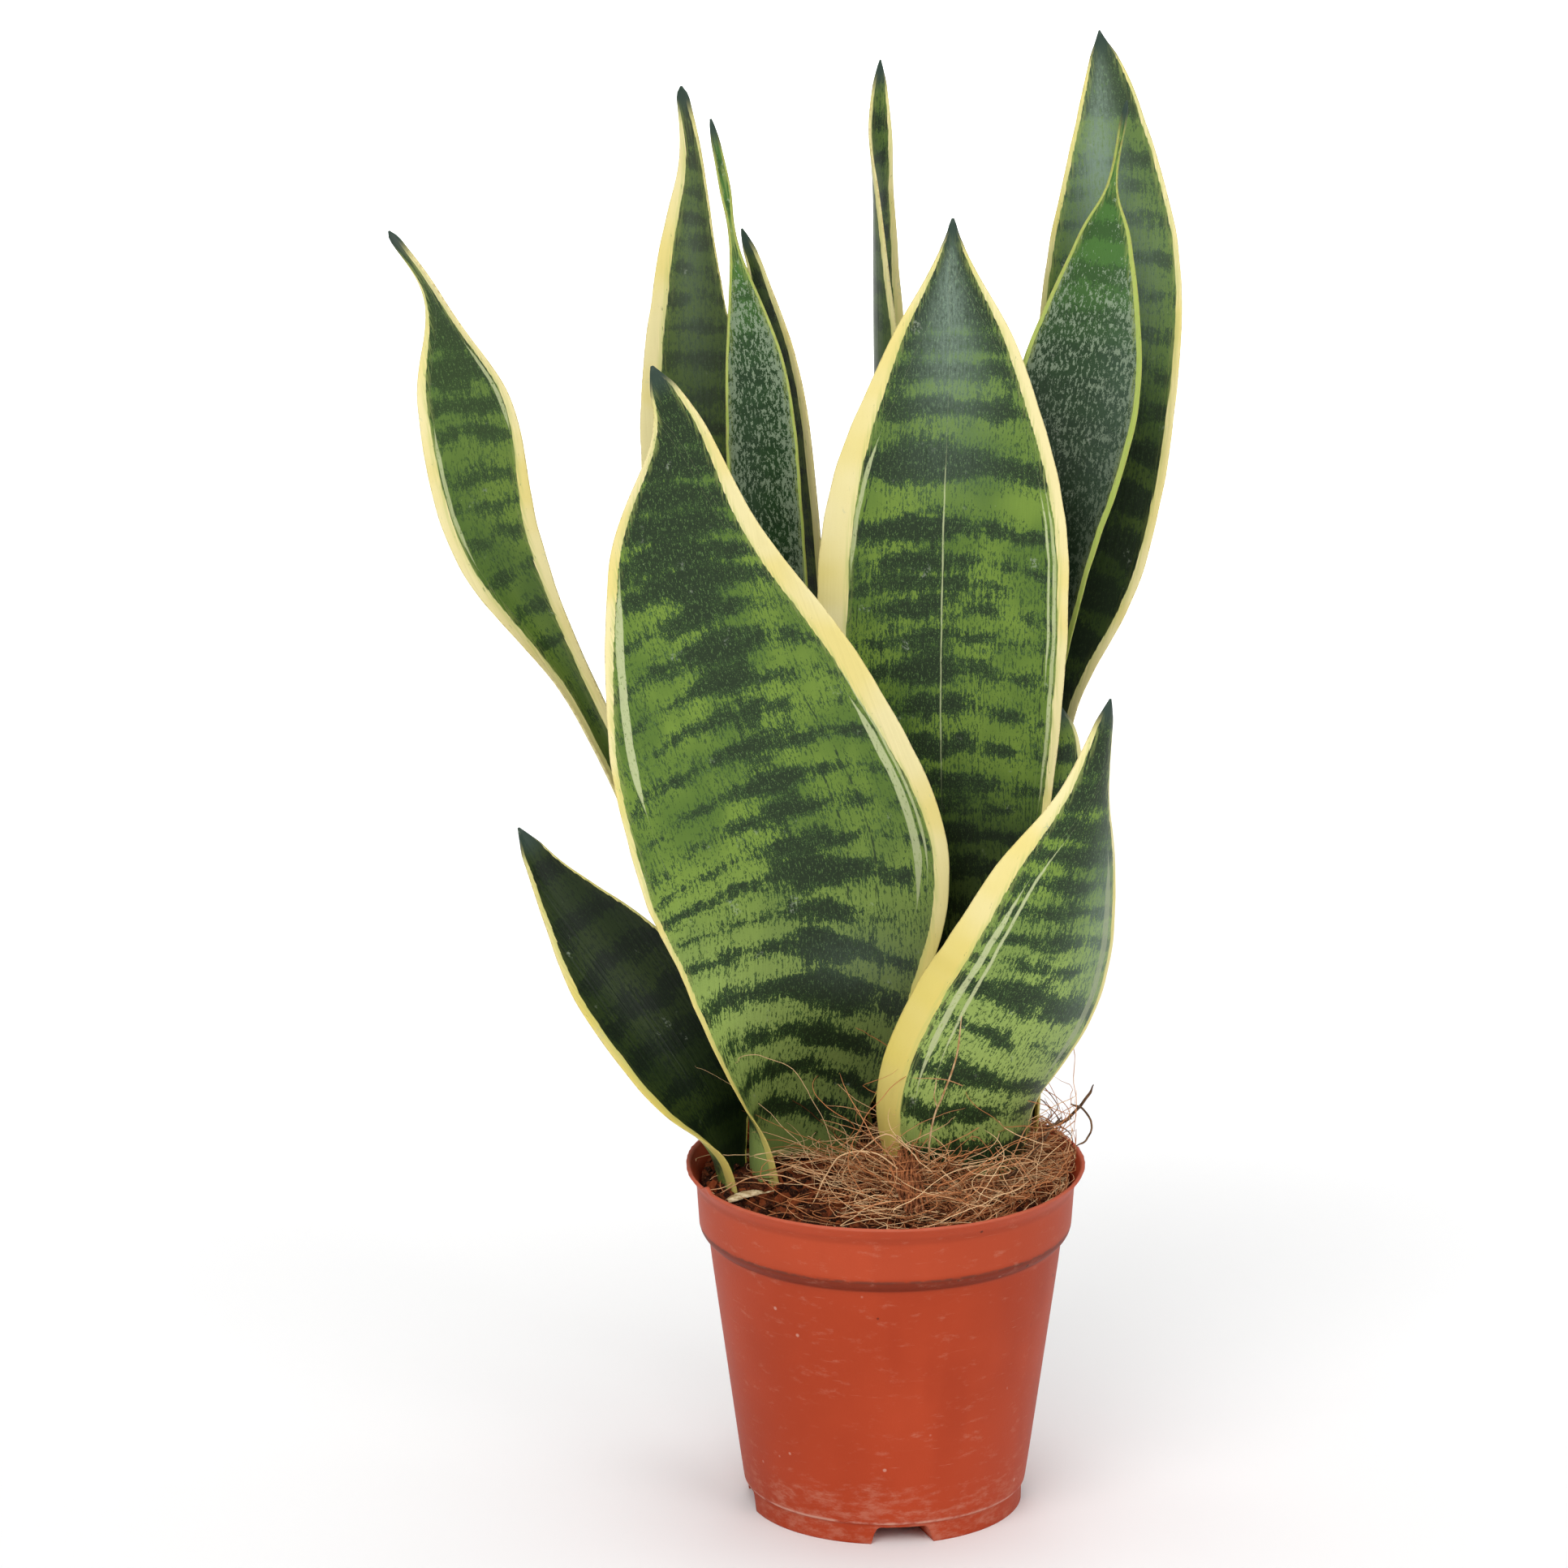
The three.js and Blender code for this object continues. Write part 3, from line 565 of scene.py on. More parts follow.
    inner = low_in.least(high_in) + (fibres - 0.5) * 1.2
    margin = inner.rise(0.15, -0.05)
    fringe = inner.rise(2.4, 0.3) * fibres.rise(0.45, 0.58)
    green = p.blend(fringe * 0.55, green, "9aa75a")
    yellowing = marks(0.02, 0.035, 31)
    if young:
        cream = p.blend(yellowing, "b9c664", "8aa648")
    else:
        cream = p.blend(yellowing.rise(0.42, 0.68), "f0e3a8", "ead989")
        cream = p.blend(height.rise(230.0, 110.0) * 0.7, cream, "dcc74a")
    nicks = marks(1.2, 0.25, 93, 3.0, 0.6)
    cream = p.coats(
        cream,
        (inner.rise(-2.0, -0.1) * (fibres + 0.1).rise(0.42, 0.66) * 0.5, "bcc46e"),
        (nicks.rise(0.66, 0.7) * inner.rise(-3.6, -0.2) * 0.6, "5f7040"),
        (dust.rise(0.6, 0.75) * 0.2, "c8a860"),
        # painted shade, faintly, on the cream margins
        (gloom * 0.08, "8f8437"),
    )
    rim = low.least(high).rise(0.4, 0.08) * (flecks.rise(0.4, 0.7) * 0.8 + 0.15)
    colour = p.coats(
        green,
        # painted shade darkens the flesh where the leaves lie in shade
        (gloom * 0.8, "0d160b"),
        (margin, cream),
        (rim * 0.6, "9c7f4c"),
        (to_tip.rise(12.0, 3.0), "33443a"),
    )
    if name not in OUTER_SHOWS:
        colour = p.blend((1.0 - face) * 0.12, colour, "7f9670")

    worn = marks(0.12, 0.08, 40, 3.0, 0.6)
    scratch = p.grain(p.join(across * 0.6 + along * 1.1, along * 0.3 - across, seed), 1.0, 2.0)
    film = worn.rise(0.64, 0.74) * scratch.rise(0.48, 0.6)
    colour = p.blend(film * 0.45, colour, "abb4a0")
    sheen = film * 0.2 + 0.42 + (dust - 0.5) * 0.08
    ribs = marks(0.9, 0.012, 50)
    relief = ribs * 0.5 + clouds * 0.6 + flecks * 0.08
    return p.finish(colour, sheen, 0.22, p.bump(relief, 0.0006, 0.5))


def leaf_piece(name, seed):
    """One leaf as a fine closed shell on the same stations as its plain solid."""
    data, facing, side, along = leaf_sections(name)
    rows = len(data)
    half = data[:, 3]
    cup = np.radians(np.maximum(data[:, 5], 3))
    share = along / along[-1]
    middle = np.interp(share, *zip(*THICKNESS))
    s = np.sin(np.linspace(-np.pi / 2, np.pi / 2, COLUMNS))
    ring_s = np.concatenate([s, s[-2:0:-1]])
    front = np.concatenate([np.ones(COLUMNS), np.zeros(COLUMNS - 2)])
    points, place, pattern, edges, tip_and_light = [], [], [], [], []
    bands = leaf_bands(name, seed)
    centres = np.array([b[0] for b in bands])
    thick = np.array([b[1] for b in bands])
    for j in range(rows):
        wave = [wander(along[j] * 0.02, k * 3.1, 0.4, seed) for k in (0, 1)]
        edge_wave = np.where(ring_s < 0, wave[0], wave[1]) * ring_s ** 4 * min(half[j] / 12, 1)
        ripple = wander(along[j] * 0.11, 2.2, 5.1, seed) * 0.25
        to_tip = along[-1] - along[j]
        closing = BLUNT_TIP if name in BLUNT else FINE_TIP
        taper = math.sqrt(min(to_tip / closing + 0.02, 1))
        wide = (half[j] + ripple * min(half[j] / 10, 1)) * taper
        radius = wide / cup[j]
        angle = ring_s * cup[j]
        inward = facing[j] * np.cos(angle)[:, None] - side[j] * np.sin(angle)[:, None]
        arc = (data[j, :3] + side[j] * (radius * np.sin(angle))[:, None]
               + facing[j] * (radius * (1 - np.cos(angle)))[:, None])
        arc = arc + inward * (edge_wave * 0.9)[:, None]
        body = (EDGE + (middle[j] - EDGE) * (1 - ring_s ** 2)) * (0.35 + 0.65 * taper)
        round_off = np.sqrt(np.clip(1 - ring_s ** SHARPNESS, 0, 1))
        rim = EDGE / 2
        depth = np.where(front > 0.5, rim * (1 - round_off), rim + (body - rim) * round_off)
        points.append(arc - inward * depth[:, None])
        across = ring_s * wide
        low, high = wide + across, wide - across
        z = data[j, 2]
        bow = (across / 40) ** 2 * 6 + wander(across[0] * 0.01, z * 0.02, 1.0, seed) * 2
        gaps = thick[None, :] / 2 - abs(z + bow[:, None] - centres[None, :])
        band = np.clip(gaps.max(1), -BAND_REACH, BAND_REACH)
        band = band + table_at(DARKER.get(name, [(0, 0)]), z, 1)
        if name in SPINE:
            foot, foot_at, top, top_at, reach, strength = SPINE[name]
            at = np.interp(z, [foot, top], [foot_at, top_at])
            at = at + 3 * wander(z * 0.03, 1.0, 7.0, seed)
            strength *= 1 + 0.6 * wander(z * 0.07, 4.0, 2.0, seed)
            fade = np.interp(z, [foot - 20, foot, top, top + 25], [0, 1, 1, 0.3])
            band = band + strength * fade * np.exp(-((across - at) / reach) ** 2)
        gloom = [table_at(GLOOM[name], z, k) for k in (1, 2)]
        gloom = np.interp(ring_s, [-1, 1], gloom)
        if name not in BOTH_SHOW:
            gloom = gloom * ((1 - front) if name in OUTER_SHOWS else front)
        # painted sheen: a bluish-white reflection gathered round each listed spot
        painted_sheen = sum((amount * np.exp(-((z - mid) / reach) ** 2 - ((ring_s - at) / 0.45) ** 2)
                     for mid, reach, at, amount in PAINTED_SHEEN.get(name, [])), 0 * ring_s)
        # distance to the tip, painted sheen and painted shade, for the material
        tip_and_light.append(np.stack([np.full_like(across, to_tip), painted_sheen, gloom], 1))
        place.append(np.stack([across, np.full_like(across, along[j]), front], 1))
        edges.append(np.stack([low, high, np.full_like(across, z)], 1))
        pattern.append(np.stack([low - data[j, 6], high - data[j, 7], band], 1))
    ring = len(ring_s)
    points = np.concatenate(points)
    faces = grid(rows, ring)
    for row, flip in ((0, True), (rows - 1, False)):
        first = row * ring
        for k in range(COLUMNS - 1):
            a, b = first + k, first + k + 1
            c, d = first + (ring - k - 1) % ring, first + (ring - k) % ring
            quad = [a, b, c, d] if k else [a, b, c]
            if k == COLUMNS - 2:
                quad = [a, b, d]
            quad = list(dict.fromkeys(quad))
            faces.append(tuple(quad[::-1]) if flip else tuple(quad))
    young = name in YOUNG
    material = leaf_material(name, young)
    piece = make_piece(name + "_blade", points, faces, material, [name])
    carry(piece, "leaf_place", np.concatenate(place))
    carry(piece, "leaf_pattern", np.concatenate(pattern))
    carry(piece, "leaf_edges", np.concatenate(edges))
    carry(piece, "leaf_tip_and_light", np.concatenate(tip_and_light))
    return piece


# ---- pot

TURNS = 300                         # points round the pot
FOOT_RADIUS, FOOT_TALL = 41.4, 5.6  # the foot ring
FLOOR_TOP, LIP_MIDDLE = 8.2, 106.6
NOTCH_TURN = -83.0                  # degrees, middle of the front notch
NOTCH_TOP, NOTCH_BROAD, NOTCH_SLOPE = 5.4, 16.0, 2.4
NUB_TURN = 206.0                    # degrees, where the moulding nub stands on the lip
DRAIN_CIRCLE, DRAIN_RADIUS = 27.0, 4.5


def pot_outline():
    """Radius and height up the outside, over the lip and down the inside to the floor."""
    outside = [
        (41.4, 0.0), (41.5, 0.5), (41.5, 5.6), (41.7, 6.3), (42.2, 6.6), (42.5, 7.0),
        (42.7, 8.0), (44, 17), (46.2, 33), (48.4, 49), (50.6, 65), (52.3, 77.5),
        (53, 83.4), (53.3, 84.9), (53.9, 85.6), (54.6, 86.1), (55.2, 86.7), (55.7, 87.6),
        (56, 88.7), (56.3, 93), (56.7, 99), (57, 101.8), (57.6, 103.2), (58.6, 104.6),
        (59.5, 105.8), (59.9, 106.4), (59.9, 106.8), (59.5, 107),
    ]
    inside = [(58.9, 106.9), (58.5, 106.2), (57.6, 104.2), (56.2, 102.2), (55.7, 99),
              (55.2, 93), (54.8, 89.6), (53.6, 86.8), (52.3, 85), (51.5, 79), (49.4, 65),
              (45, 33), (41.8, 9.4), (40, 8.2), (30, 8.2), (18, 8.2), (6, 8.2)]
    return outside + inside


def over_notch(height, z, lift):
    """Heights of one loop of the foot, raised where the notches are."""
    return np.maximum(height, lift + z * (FOOT_TALL - lift) / FOOT_TALL)


def pot_piece():
    angles = np.linspace(0, 2 * np.pi, TURNS, endpoint=False)
    ragged = np.array([wander(math.cos(a) * 6, math.sin(a) * 6, 0, 3) for a in angles])
    nub = 1.6 * np.exp(-((np.degrees(angles) - NUB_TURN) / 1.6) ** 2)
    fray = np.array([wander(math.cos(a) * 26, math.sin(a) * 26, 0, 4) for a in angles])
    points = []

    def loop(radius, height):
        return np.stack([radius * np.cos(angles), radius * np.sin(angles), height], 1)

    off = (np.degrees(angles) - NOTCH_TURN + 45) % 90 - 45
    reach = np.radians(np.abs(off)) * FOOT_RADIUS
    lift = np.clip((NOTCH_BROAD / 2 + NOTCH_SLOPE / 2 - reach) / NOTCH_SLOPE, 0, 1)
    lift = NOTCH_TOP * np.sin(lift * np.pi / 2) ** 0.6
    for r, z in pot_outline():
        at_lip = math.exp(-((z - LIP_MIDDLE) / 0.9) ** 2)
        radius = r + at_lip * (0.25 * ragged + 0.18 * fray)
        height = z + at_lip * (0.22 * ragged + 0.16 * fray + nub)
        if z <= FOOT_TALL:
            height = over_notch(height, z, lift)
        points.append(loop(radius, height))
    under = [(39.9, 0.0), (39.9, 5.6), (39.2, 6.2), (26, 6.4), (12.6, 6.4), (12, 5.8), (12, 0)]
    for r, z in under[::-1]:
        height = np.full(TURNS, float(z))
        if r > 39 and z <= FOOT_TALL:
            height = over_notch(height, z, lift)
        points.insert(0, loop(r, height))
    loops = len(points)
    points = np.concatenate(points + [np.array([[0, 0, 0.0], [0, 0, FLOOR_TOP]])])
    faces = grid(loops, TURNS)
    base, floor = loops * TURNS, loops * TURNS + 1
    for k in range(TURNS):
        n = (k + 1) % TURNS
        faces.append((n, k, base))
        faces.append(((loops - 1) * TURNS + k, (loops - 1) * TURNS + n, floor))
    return make_piece("pot_shell", points, faces, pot_material(), ["pot"])


def pot_material():
    """Dull red plastic: painted shade and grime in the step under the collar, scuffed pale near
    the foot.
    """
    p = Paint("terracotta_plastic")
    spot = p.place()
    x, y, z = spot.axes()
    clouds = p.grain(spot, 0.018, 3.0, 0.55)
    flow = p.grain(p.join(x * 0.5, y * 0.5, z * 0.05), 0.12, 2.0)
    fine = p.grain(spot, 1.6, 2.0, 0.6)
    dirt = p.grain(p.join(x * 0.5, y * 0.5, z * 1.5), 0.5, 3.0, 0.6)
    scuff = p.grain(p.join(x * 0.9, y * 0.9, z * 2.2), 0.16, 4.0, 0.7)
    scrape = p.grain(p.join(x * 0.25, y * 0.25, z * 5.0), 0.3, 3.0, 0.7)
    rub = (scuff + z.rise(26.0, 8.0) * 0.14).rise(0.55, 0.85)
    dot = p.cells(spot, 0.13).rise(0.1, 0.04) * p.grain(spot, 0.05, 1.0).rise(0.55, 0.6)
    crumb = p.cells(p.join(x + 31.0, y, z), 0.07).rise(0.06, 0.04)
    colour = p.coats(
        p.blend(clouds.rise(0.35, 0.65), "a93e20", "b34425"),
        (flow.rise(0.55, 0.75) * 0.3, "9c351a"),
        # the collar, then painted shade in the step under it and the grime in the step
        (z.rise(89.0, 90.5) * 0.25, "c65a3c"),
        (z.rise(84.4, 85.4) * z.rise(89.1, 88.3) * 0.68, "5c2113"),
        ((-abs(z - 88.8)).rise(-0.7, -0.1) * dirt.rise(0.3, 0.55) * 0.65, "55352b"),
        # the lip's top edge lighter in uneven patches, and painted shade in the crease under it
        (z.rise(105.9, 106.7) * (dirt * 0.7 + 0.45).least(1.0) * 0.5, "c9735c"),
        (z.rise(100.2, 101.6) * z.rise(104.0, 102.4) * 0.3, "8a321c"),
        # rubbed patches, scrapes, the seam by the foot, specks and crumbs of peat
        (rub * 0.36, "d0957e"),
        (scrape.rise(0.66, 0.74) * 0.35, "c9836a"),
        ((-abs(z - 6.9)).rise(-0.8, -0.1) * scuff.rise(0.3, 0.6) * 0.7, "dcab98"),
        (dot * 0.5, "d8ad9a"),
        (crumb * z.rise(60.0, 80.0) * 0.8, "3a2018"),
    )
    sheen = rub * 0.2 + 0.5 + (fine - 0.5) * 0.1
    relief = fine * 0.3 + clouds * 1.2
    return p.finish(colour, sheen, 0.12, p.bump(relief, 0.0004, 0.35))


# ---- soil and coir

def tubes(paths, radii, sides=4):
    """Thin closed tubes along paths of points; also one number for each tube's points."""
    points, faces, owner, start = [], [], [], 0
    turn = np.linspace(0, 2 * np.pi, sides, endpoint=False)
    for index, (path, radius) in enumerate(zip(paths, radii)):
        path = np.asarray(path, float)
        ahead = unit(np.gradient(path, axis=0))
        hint = np.array([0.31, 0.17, 0.94])
        a = unit(np.cross(ahead, hint))
        b = np.cross(ahead, a)
        taper = np.interp(np.linspace(0, 1, len(path)), [0, 0.1, 0.85, 1], [0.7, 1, 0.9, 0.35])
        size = (radius * taper)[:, None, None]
        ring = (path[:, None, :] + size * (a[:, None, :] * np.cos(turn)[None, :, None]
                                           + b[:, None, :] * np.sin(turn)[None, :, None]))
        points.append(ring.reshape(-1, 3))
        rows = len(path)
        faces += grid(rows, sides, start)
        faces.append(tuple(start + k for k in range(sides))[::-1])
        faces.append(tuple(start + (rows - 1) * sides + k for k in range(sides)))
        owner += [index] * (rows * sides)
        start += rows * sides
    return np.concatenate(points), faces, np.array(owner)


BED_RADIUS, BED_FOOT, BED_UNDER = 55.3, 54.6, 90
HEAP_EDGE = 52
CHIPS = 2100
FIBRES, LOOSE_FIBRES = 2150, 380
HUSK_STRANDS = 90


def ground(x, y):
    """Height of the peat: crumbly, a few millimetres below the lip."""
    return (101.6 + 1.5 * wander(x * 0.06, y * 0.06, 0, 1) + 1.0 * wander(x * 0.2, y * 0.2, 0, 2)
            + 0.6 * wander(x * 0.6, y * 0.6, 0, 3))


def mound(x, y):
    """Height that the coir is heaped above the peat."""
    def heap(cx, cy, tall, broad):
        return tall * math.exp(-((x - cx) ** 2 + (y - cy) ** 2) / broad ** 2)

    return heap(16, -24, 4, 22) + heap(47, 19, 11, 13) + heap(8, -6, 7, 15) + heap(2, 30, 4, 16)


def circle(radius, count):
    """Points round the origin, as (x, y)."""
    turns = [2 * math.pi * k / count for k in range(count)]
    return [(radius * math.cos(a), radius * math.sin(a)) for a in turns]


def peat_top(x, y, r):
    """Height of the peat where coir is heaped on it, at distance r from the middle."""
    return ground(x, y) + 0.35 * mound(x, y) * (r < HEAP_EDGE)


def soil_piece():
    """The bed of peat, down to its flat underside out of sight in the pot."""
    rings, spokes = 64, 150
    points, faces = [[0, 0, ground(0, 0)]], []
    for i in range(1, rings + 1):
        r = BED_RADIUS * i / rings
        points += [[x, y, peat_top(x, y, r)] for x, y in circle(r, spokes)]
    points += [[x, y, BED_UNDER] for x, y in circle(BED_FOOT, spokes)]
    points.append([0, 0, BED_UNDER])
    for k in range(spokes):
        n = (k + 1) % spokes
        faces.append((0, 1 + k, 1 + n))
        for i in range(rings):
            a, b = 1 + i * spokes, 1 + (i + 1) * spokes
            faces.append((a + k, b + k, b + n, a + n))
        last = 1 + rings * spokes
        faces.append((last + n, last + k, len(points) - 1))
    return make_piece("peat_bed", points, faces, peat_material(), ["soil"])


def peat_material():
    """Dark peat with reddish crumbs."""
    p = Paint("dark_peat")
    spot = p.place()
    crumbs = p.grain(spot, 0.5, 4.0, 0.7)
    chips = p.cells(spot, 0.45)
    colour = p.blend(crumbs.rise(0.35, 0.65), "26120a", "602c16")
    colour = p.blend(chips.rise(0.45, 0.2) * 0.5, colour, "7a4224")
    return p.finish(colour, 0.95, 0.15, p.bump(crumbs - chips * 0.4, 0.0015, 0.9))


def drain_piece():
    """Peat that shows in the four drain holes under the pot, each a rough low plug."""
    spokes, points, faces = 36, [], []
    for hole in range(4):
        turn = math.radians(NOTCH_TURN + 90 * hole)
        cx, cy = DRAIN_CIRCLE * math.cos(turn), DRAIN_CIRCLE * math.sin(turn)
        base = len(points)
        for share, z in ((0.35, 5.9), (0.7, 6.0), (1.0, 6.3), (1.0, 7.6)):
            for x, y in circle(DRAIN_RADIUS * share, spokes):
                x, y = x + cx, y + cy
                points.append([x, y, z + 0.2 * wander(x, y, z, 15) * (share < 1)])
        points += [[cx, cy, 5.9], [cx, cy, 7.6]]
        faces += grid(4, spokes, base)
        for k in range(spokes):
            n = (k + 1) % spokes
            faces.append((base + k, base + n, base + 4 * spokes)[::-1])
            faces.append((base + 3 * spokes + k, base + 3 * spokes + n, base + 4 * spokes + 1))
    return make_piece("drain_peat", points, faces, peat_material())


def chip_piece():
    """Crumbs and coconut chips scattered on the peat, each a rough little block."""
    rng = np.random.default_rng(11)
    block = np.array([[-1, -1, -1], [1, -1, -1], [1, 1, -1], [-1, 1, -1],
                      [-1, -1, 1], [1, -1, 1], [1, 1, 1], [-1, 1, 1]], float)
    sides = [(0, 3, 2, 1), (4, 5, 6, 7), (0, 1, 5, 4), (1, 2, 6, 5), (2, 3, 7, 6), (3, 0, 4, 7)]
    points, faces, shade = [], [], []
    for _ in range(CHIPS):
        r, a = 54.5 * math.sqrt(rng.random()), rng.uniform(0, 2 * math.pi)
        x, y = r * math.cos(a), r * math.sin(a)
        size = rng.uniform(0.4, 2.2) * rng.uniform(0.6, 1.3, 3) * [1, 0.8, 0.5]
        turn = rng.normal(size=(3, 3))
        q, _ = np.linalg.qr(turn)
        if np.linalg.det(q) < 0:
            q[:, 0] = -q[:, 0]
        shape = (block * rng.uniform(0.55, 1.0, (8, 3)) * size) @ q.T
        z = peat_top(x, y, r) + size[2] * 0.4 + rng.uniform(0, 0.5)
        shape = shape + [x, y, z]
        out = np.linalg.norm(shape[:, :2], axis=1).max()
        if out > 55:
            shape[:, :2] *= 55 / out
        base = len(points) * 8
        faces += [tuple(base + i for i in side) for side in sides]
        points.append(shape)
        shade += [rng.random()] * 8
    piece = make_piece("coconut_chips", np.concatenate(points), faces, chip_material(),
                       smooth=False)
    shade = np.array(shade)
    carry(piece, "tint", np.repeat(shade, 3))
    return piece


def chip_material():
    p = Paint("coconut_chip")
    tint = p.measure("tint")[0]
    grit = p.grain(p.place(), 1.2, 3.0, 0.7)
    colour = p.blend(tint.rise(0.2, 0.9), "2b130a", "7c3b1d")
    colour = p.blend(grit.rise(0.5, 0.75) * 0.6, colour, "a5683e")
    return p.finish(colour, 0.9, 0.15, p.bump(grit, 0.0006, 0.8))


def fibre_path(rng, x, y, z, length, lift, curl, step=2.2):
    """One loose fibre: it starts at a point and wanders, bending one way more than the other."""
    heading, climb = rng.uniform(0, 2 * math.pi), rng.normal(0, lift)
    bend, dip = rng.normal(0, curl), rng.normal(0, curl * 0.4)
    path = [[x, y, z]]
    for _ in range(max(3, int(length / step))):
        heading += bend + rng.normal(0, 0.13)
        climb = climb * 0.93 + dip * 0.25 + rng.normal(0, 0.07)
        x += step * math.cos(heading) * math.cos(climb)
        y += step * math.sin(heading) * math.cos(climb)
        z += step * math.sin(climb)
        floor = ground(x, y) + 0.6 * mound(x, y) - 0.4
        if z < floor:
            z, climb = floor, abs(climb) * 0.5
        r = math.hypot(x, y)
        limit = 54.6 if z < 104 else 57.2
        if r > limit:
            x, y = x * limit / r, y * limit / r
            heading += 0.5
        path.append([x, y, z])
    return path


# Long loose fibres that stand out of the tangle: thickness, then points along each.
LONG_FIBRES = [
    (0.26, [(-22, -26, 103), (-18, -24, 112), (-12, -25, 118), (-3, -26, 119), (5, -27, 112),
            (9, -30, 104)]),
    (0.2, [(-10, -18, 113), (-2, -17, 121), (6, -18, 118), (12, -22, 109), (15, -27, 103)]),
    (0.22, [(11, -29, 115), (17, -31, 114), (24, -31, 108), (30, -33, 104), (36, -30, 103)]),
    (0.24, [(13, -32, 104), (20, -34, 109), (28, -35, 111), (37, -33, 108), (43, -29, 105)]),
    (0.2, [(-49, -19, 104), (-41, -22, 110), (-30, -26, 111), (-18, -28, 108), (-7, -29, 105)]),
    (0.3, [(2, -34, 104), (9, -35, 108), (18, -38, 109), (27, -37, 106), (34, -34, 104)]),
    (0.22, [(26, -24, 106), (32, -22, 113), (39, -19, 115), (46, -14, 111), (50, -8, 106)]),
    (0.2, [(-16, -33, 103), (-9, -36, 107), (0, -37, 110), (9, -36, 108), (15, -33, 104)]),
    (0.18, [(36, -12, 108), (41, -4, 116), (46, 4, 119), (51, 11, 115), (53, 17, 109)]),
    (0.22, [(20, -40, 104), (12, -43, 107), (3, -44, 108), (-7, -42, 106), (-15, -38, 104)]),
]
# Wiry roots among the fibres, in the same way.
WIRY_ROOTS = [
    (0.42, [(34, -16, 106), (40, -10, 109), (46, -3, 113), (50, 3, 117), (53, 9, 118)]),
    (0.34, [(56, 18, 119), (60, 17, 117.5), (62.5, 15, 113), (60.5, 12, 109.5),
            (57.5, 10, 108.5)]),
    (0.3, [(43, 6, 108), (48, 12, 112), (54, 18, 114), (57, 24, 112)]),
]


def long_path(points, rng, wobble):
    """A smooth path through the points with a slight wobble."""
    points = np.asarray(points, float)
    t = np.linspace(0, len(points) - 1, 9 * (len(points) - 1))
    path = spline(points, t)
    seed = rng.uniform(0, 90)
    shake = [[wander(t[i] * 1.7, k * 5.0, seed, 6) for k in range(3)] for i in range(len(t))]
    return path + wobble * np.array(shake)


def coir_piece():
    """The tangle of coconut fibre: thick on the right and round the leaves, thin on the left."""
    rng = np.random.default_rng(23)
    paths, radii, tints = [], [], []
    while len(paths) < FIBRES:
        x, y = rng.uniform(-50, 54, 2)
        if math.hypot(x, y) > 53:
            continue
        here = mound(x, y)
        density = 0.03 + 0.97 / (1 + math.exp(-(x + 4 + y * 0.1) / 5))
        if rng.random() > density * (0.45 + min(here, 8) / 9):
            continue
        z = ground(x, y) + rng.uniform(0, 1) * (0.8 + here)
        length = rng.uniform(8, 34)
        paths.append(fibre_path(rng, x, y, z, length, 0.5, 0.26))
        radii.append(rng.uniform(0.07, 0.2))
        tints.append(rng.random() ** 1.2)
    for _ in range(LOOSE_FIBRES):
        x, y = rng.uniform(-22, 53), rng.uniform(-46, 34)
        if math.hypot(x, y) > 51:
            continue
        z = ground(x, y) + mound(x, y)
        paths.append(fibre_path(rng, x, y, z, rng.uniform(22, 80), 0.65, 0.16))
        radii.append(rng.uniform(0.08, 0.16))
        tints.append(rng.uniform(0.4, 1))
    for radius, route in LONG_FIBRES:
        paths.append(long_path(route, rng, 1.0))
        radii.append(radius)
        tints.append(rng.uniform(0.5, 1))
    points, faces, owner = tubes(paths, radii)
    piece = make_piece("coir_tangle", points, faces, coir_material(), ["coir_mat"])
    shade = np.array(tints)[owner]
    carry(piece, "tint", np.repeat(shade, 3))
    return piece


def coir_material():
    """Coconut fibre from reddish brown to pale straw."""
    p = Paint("coir_fibre")
    tint = p.measure("tint")[0]
    grain = p.grain(p.place(), 0.9, 3.0, 0.6)
    colour = p.blend(tint.rise(0.0, 0.5), "5a2c15", "c47f50")
    colour = p.blend(tint.rise(0.5, 0.95), colour, "f0c898")
    colour = p.blend(grain.rise(0.5, 0.7) * 0.4, colour, "b06a3e")
    return p.finish(colour, 0.75, 0.2, p.bump(grain, 0.0002, 0.5))


# ---- small loose pieces

def dry_material(name, dark, pale, stretch):
    """Dry plant stuff, streaked one way."""
    p = Paint(name)
    x, y, z = p.place().axes()
    streaks = p.grain(p.join(x * stretch[0], y * stretch[1], z * stretch[2]), 1.0, 3.0, 0.6)
    spots = p.grain(p.place(), 0.7, 2.0, 0.6)
    colour = p.blend(streaks.rise(0.35, 0.65), dark, pale)
    colour = p.blend(spots.rise(0.58, 0.72) * 0.5, colour, dark)
    return p.finish(colour, 0.8, 0.2, p.bump(streaks, 0.0005, 0.7))


def root_piece():
    """The wiry roots, the stiffest of them sticking out past the lip on the right."""
    rng = np.random.default_rng(31)
    routes = [*WIRY_ROOTS, (0.5, [(49, 22, 110), (53.5, 23.5, 111.2), (57, 25, 113.3),
                                  (61, 26, 118), (63.5, 26, 122.5)])]
    paths = [long_path(route, rng, 0.5) for _, route in routes]
    points, faces, _ = tubes(paths, [radius for radius, _ in routes], 7)
    material = dry_material("wiry_root", "4a3324", "7d5e44", (0.6, 0.6, 0.6))
    return make_piece("wiry_roots", points, faces, material, ["root_twig"])


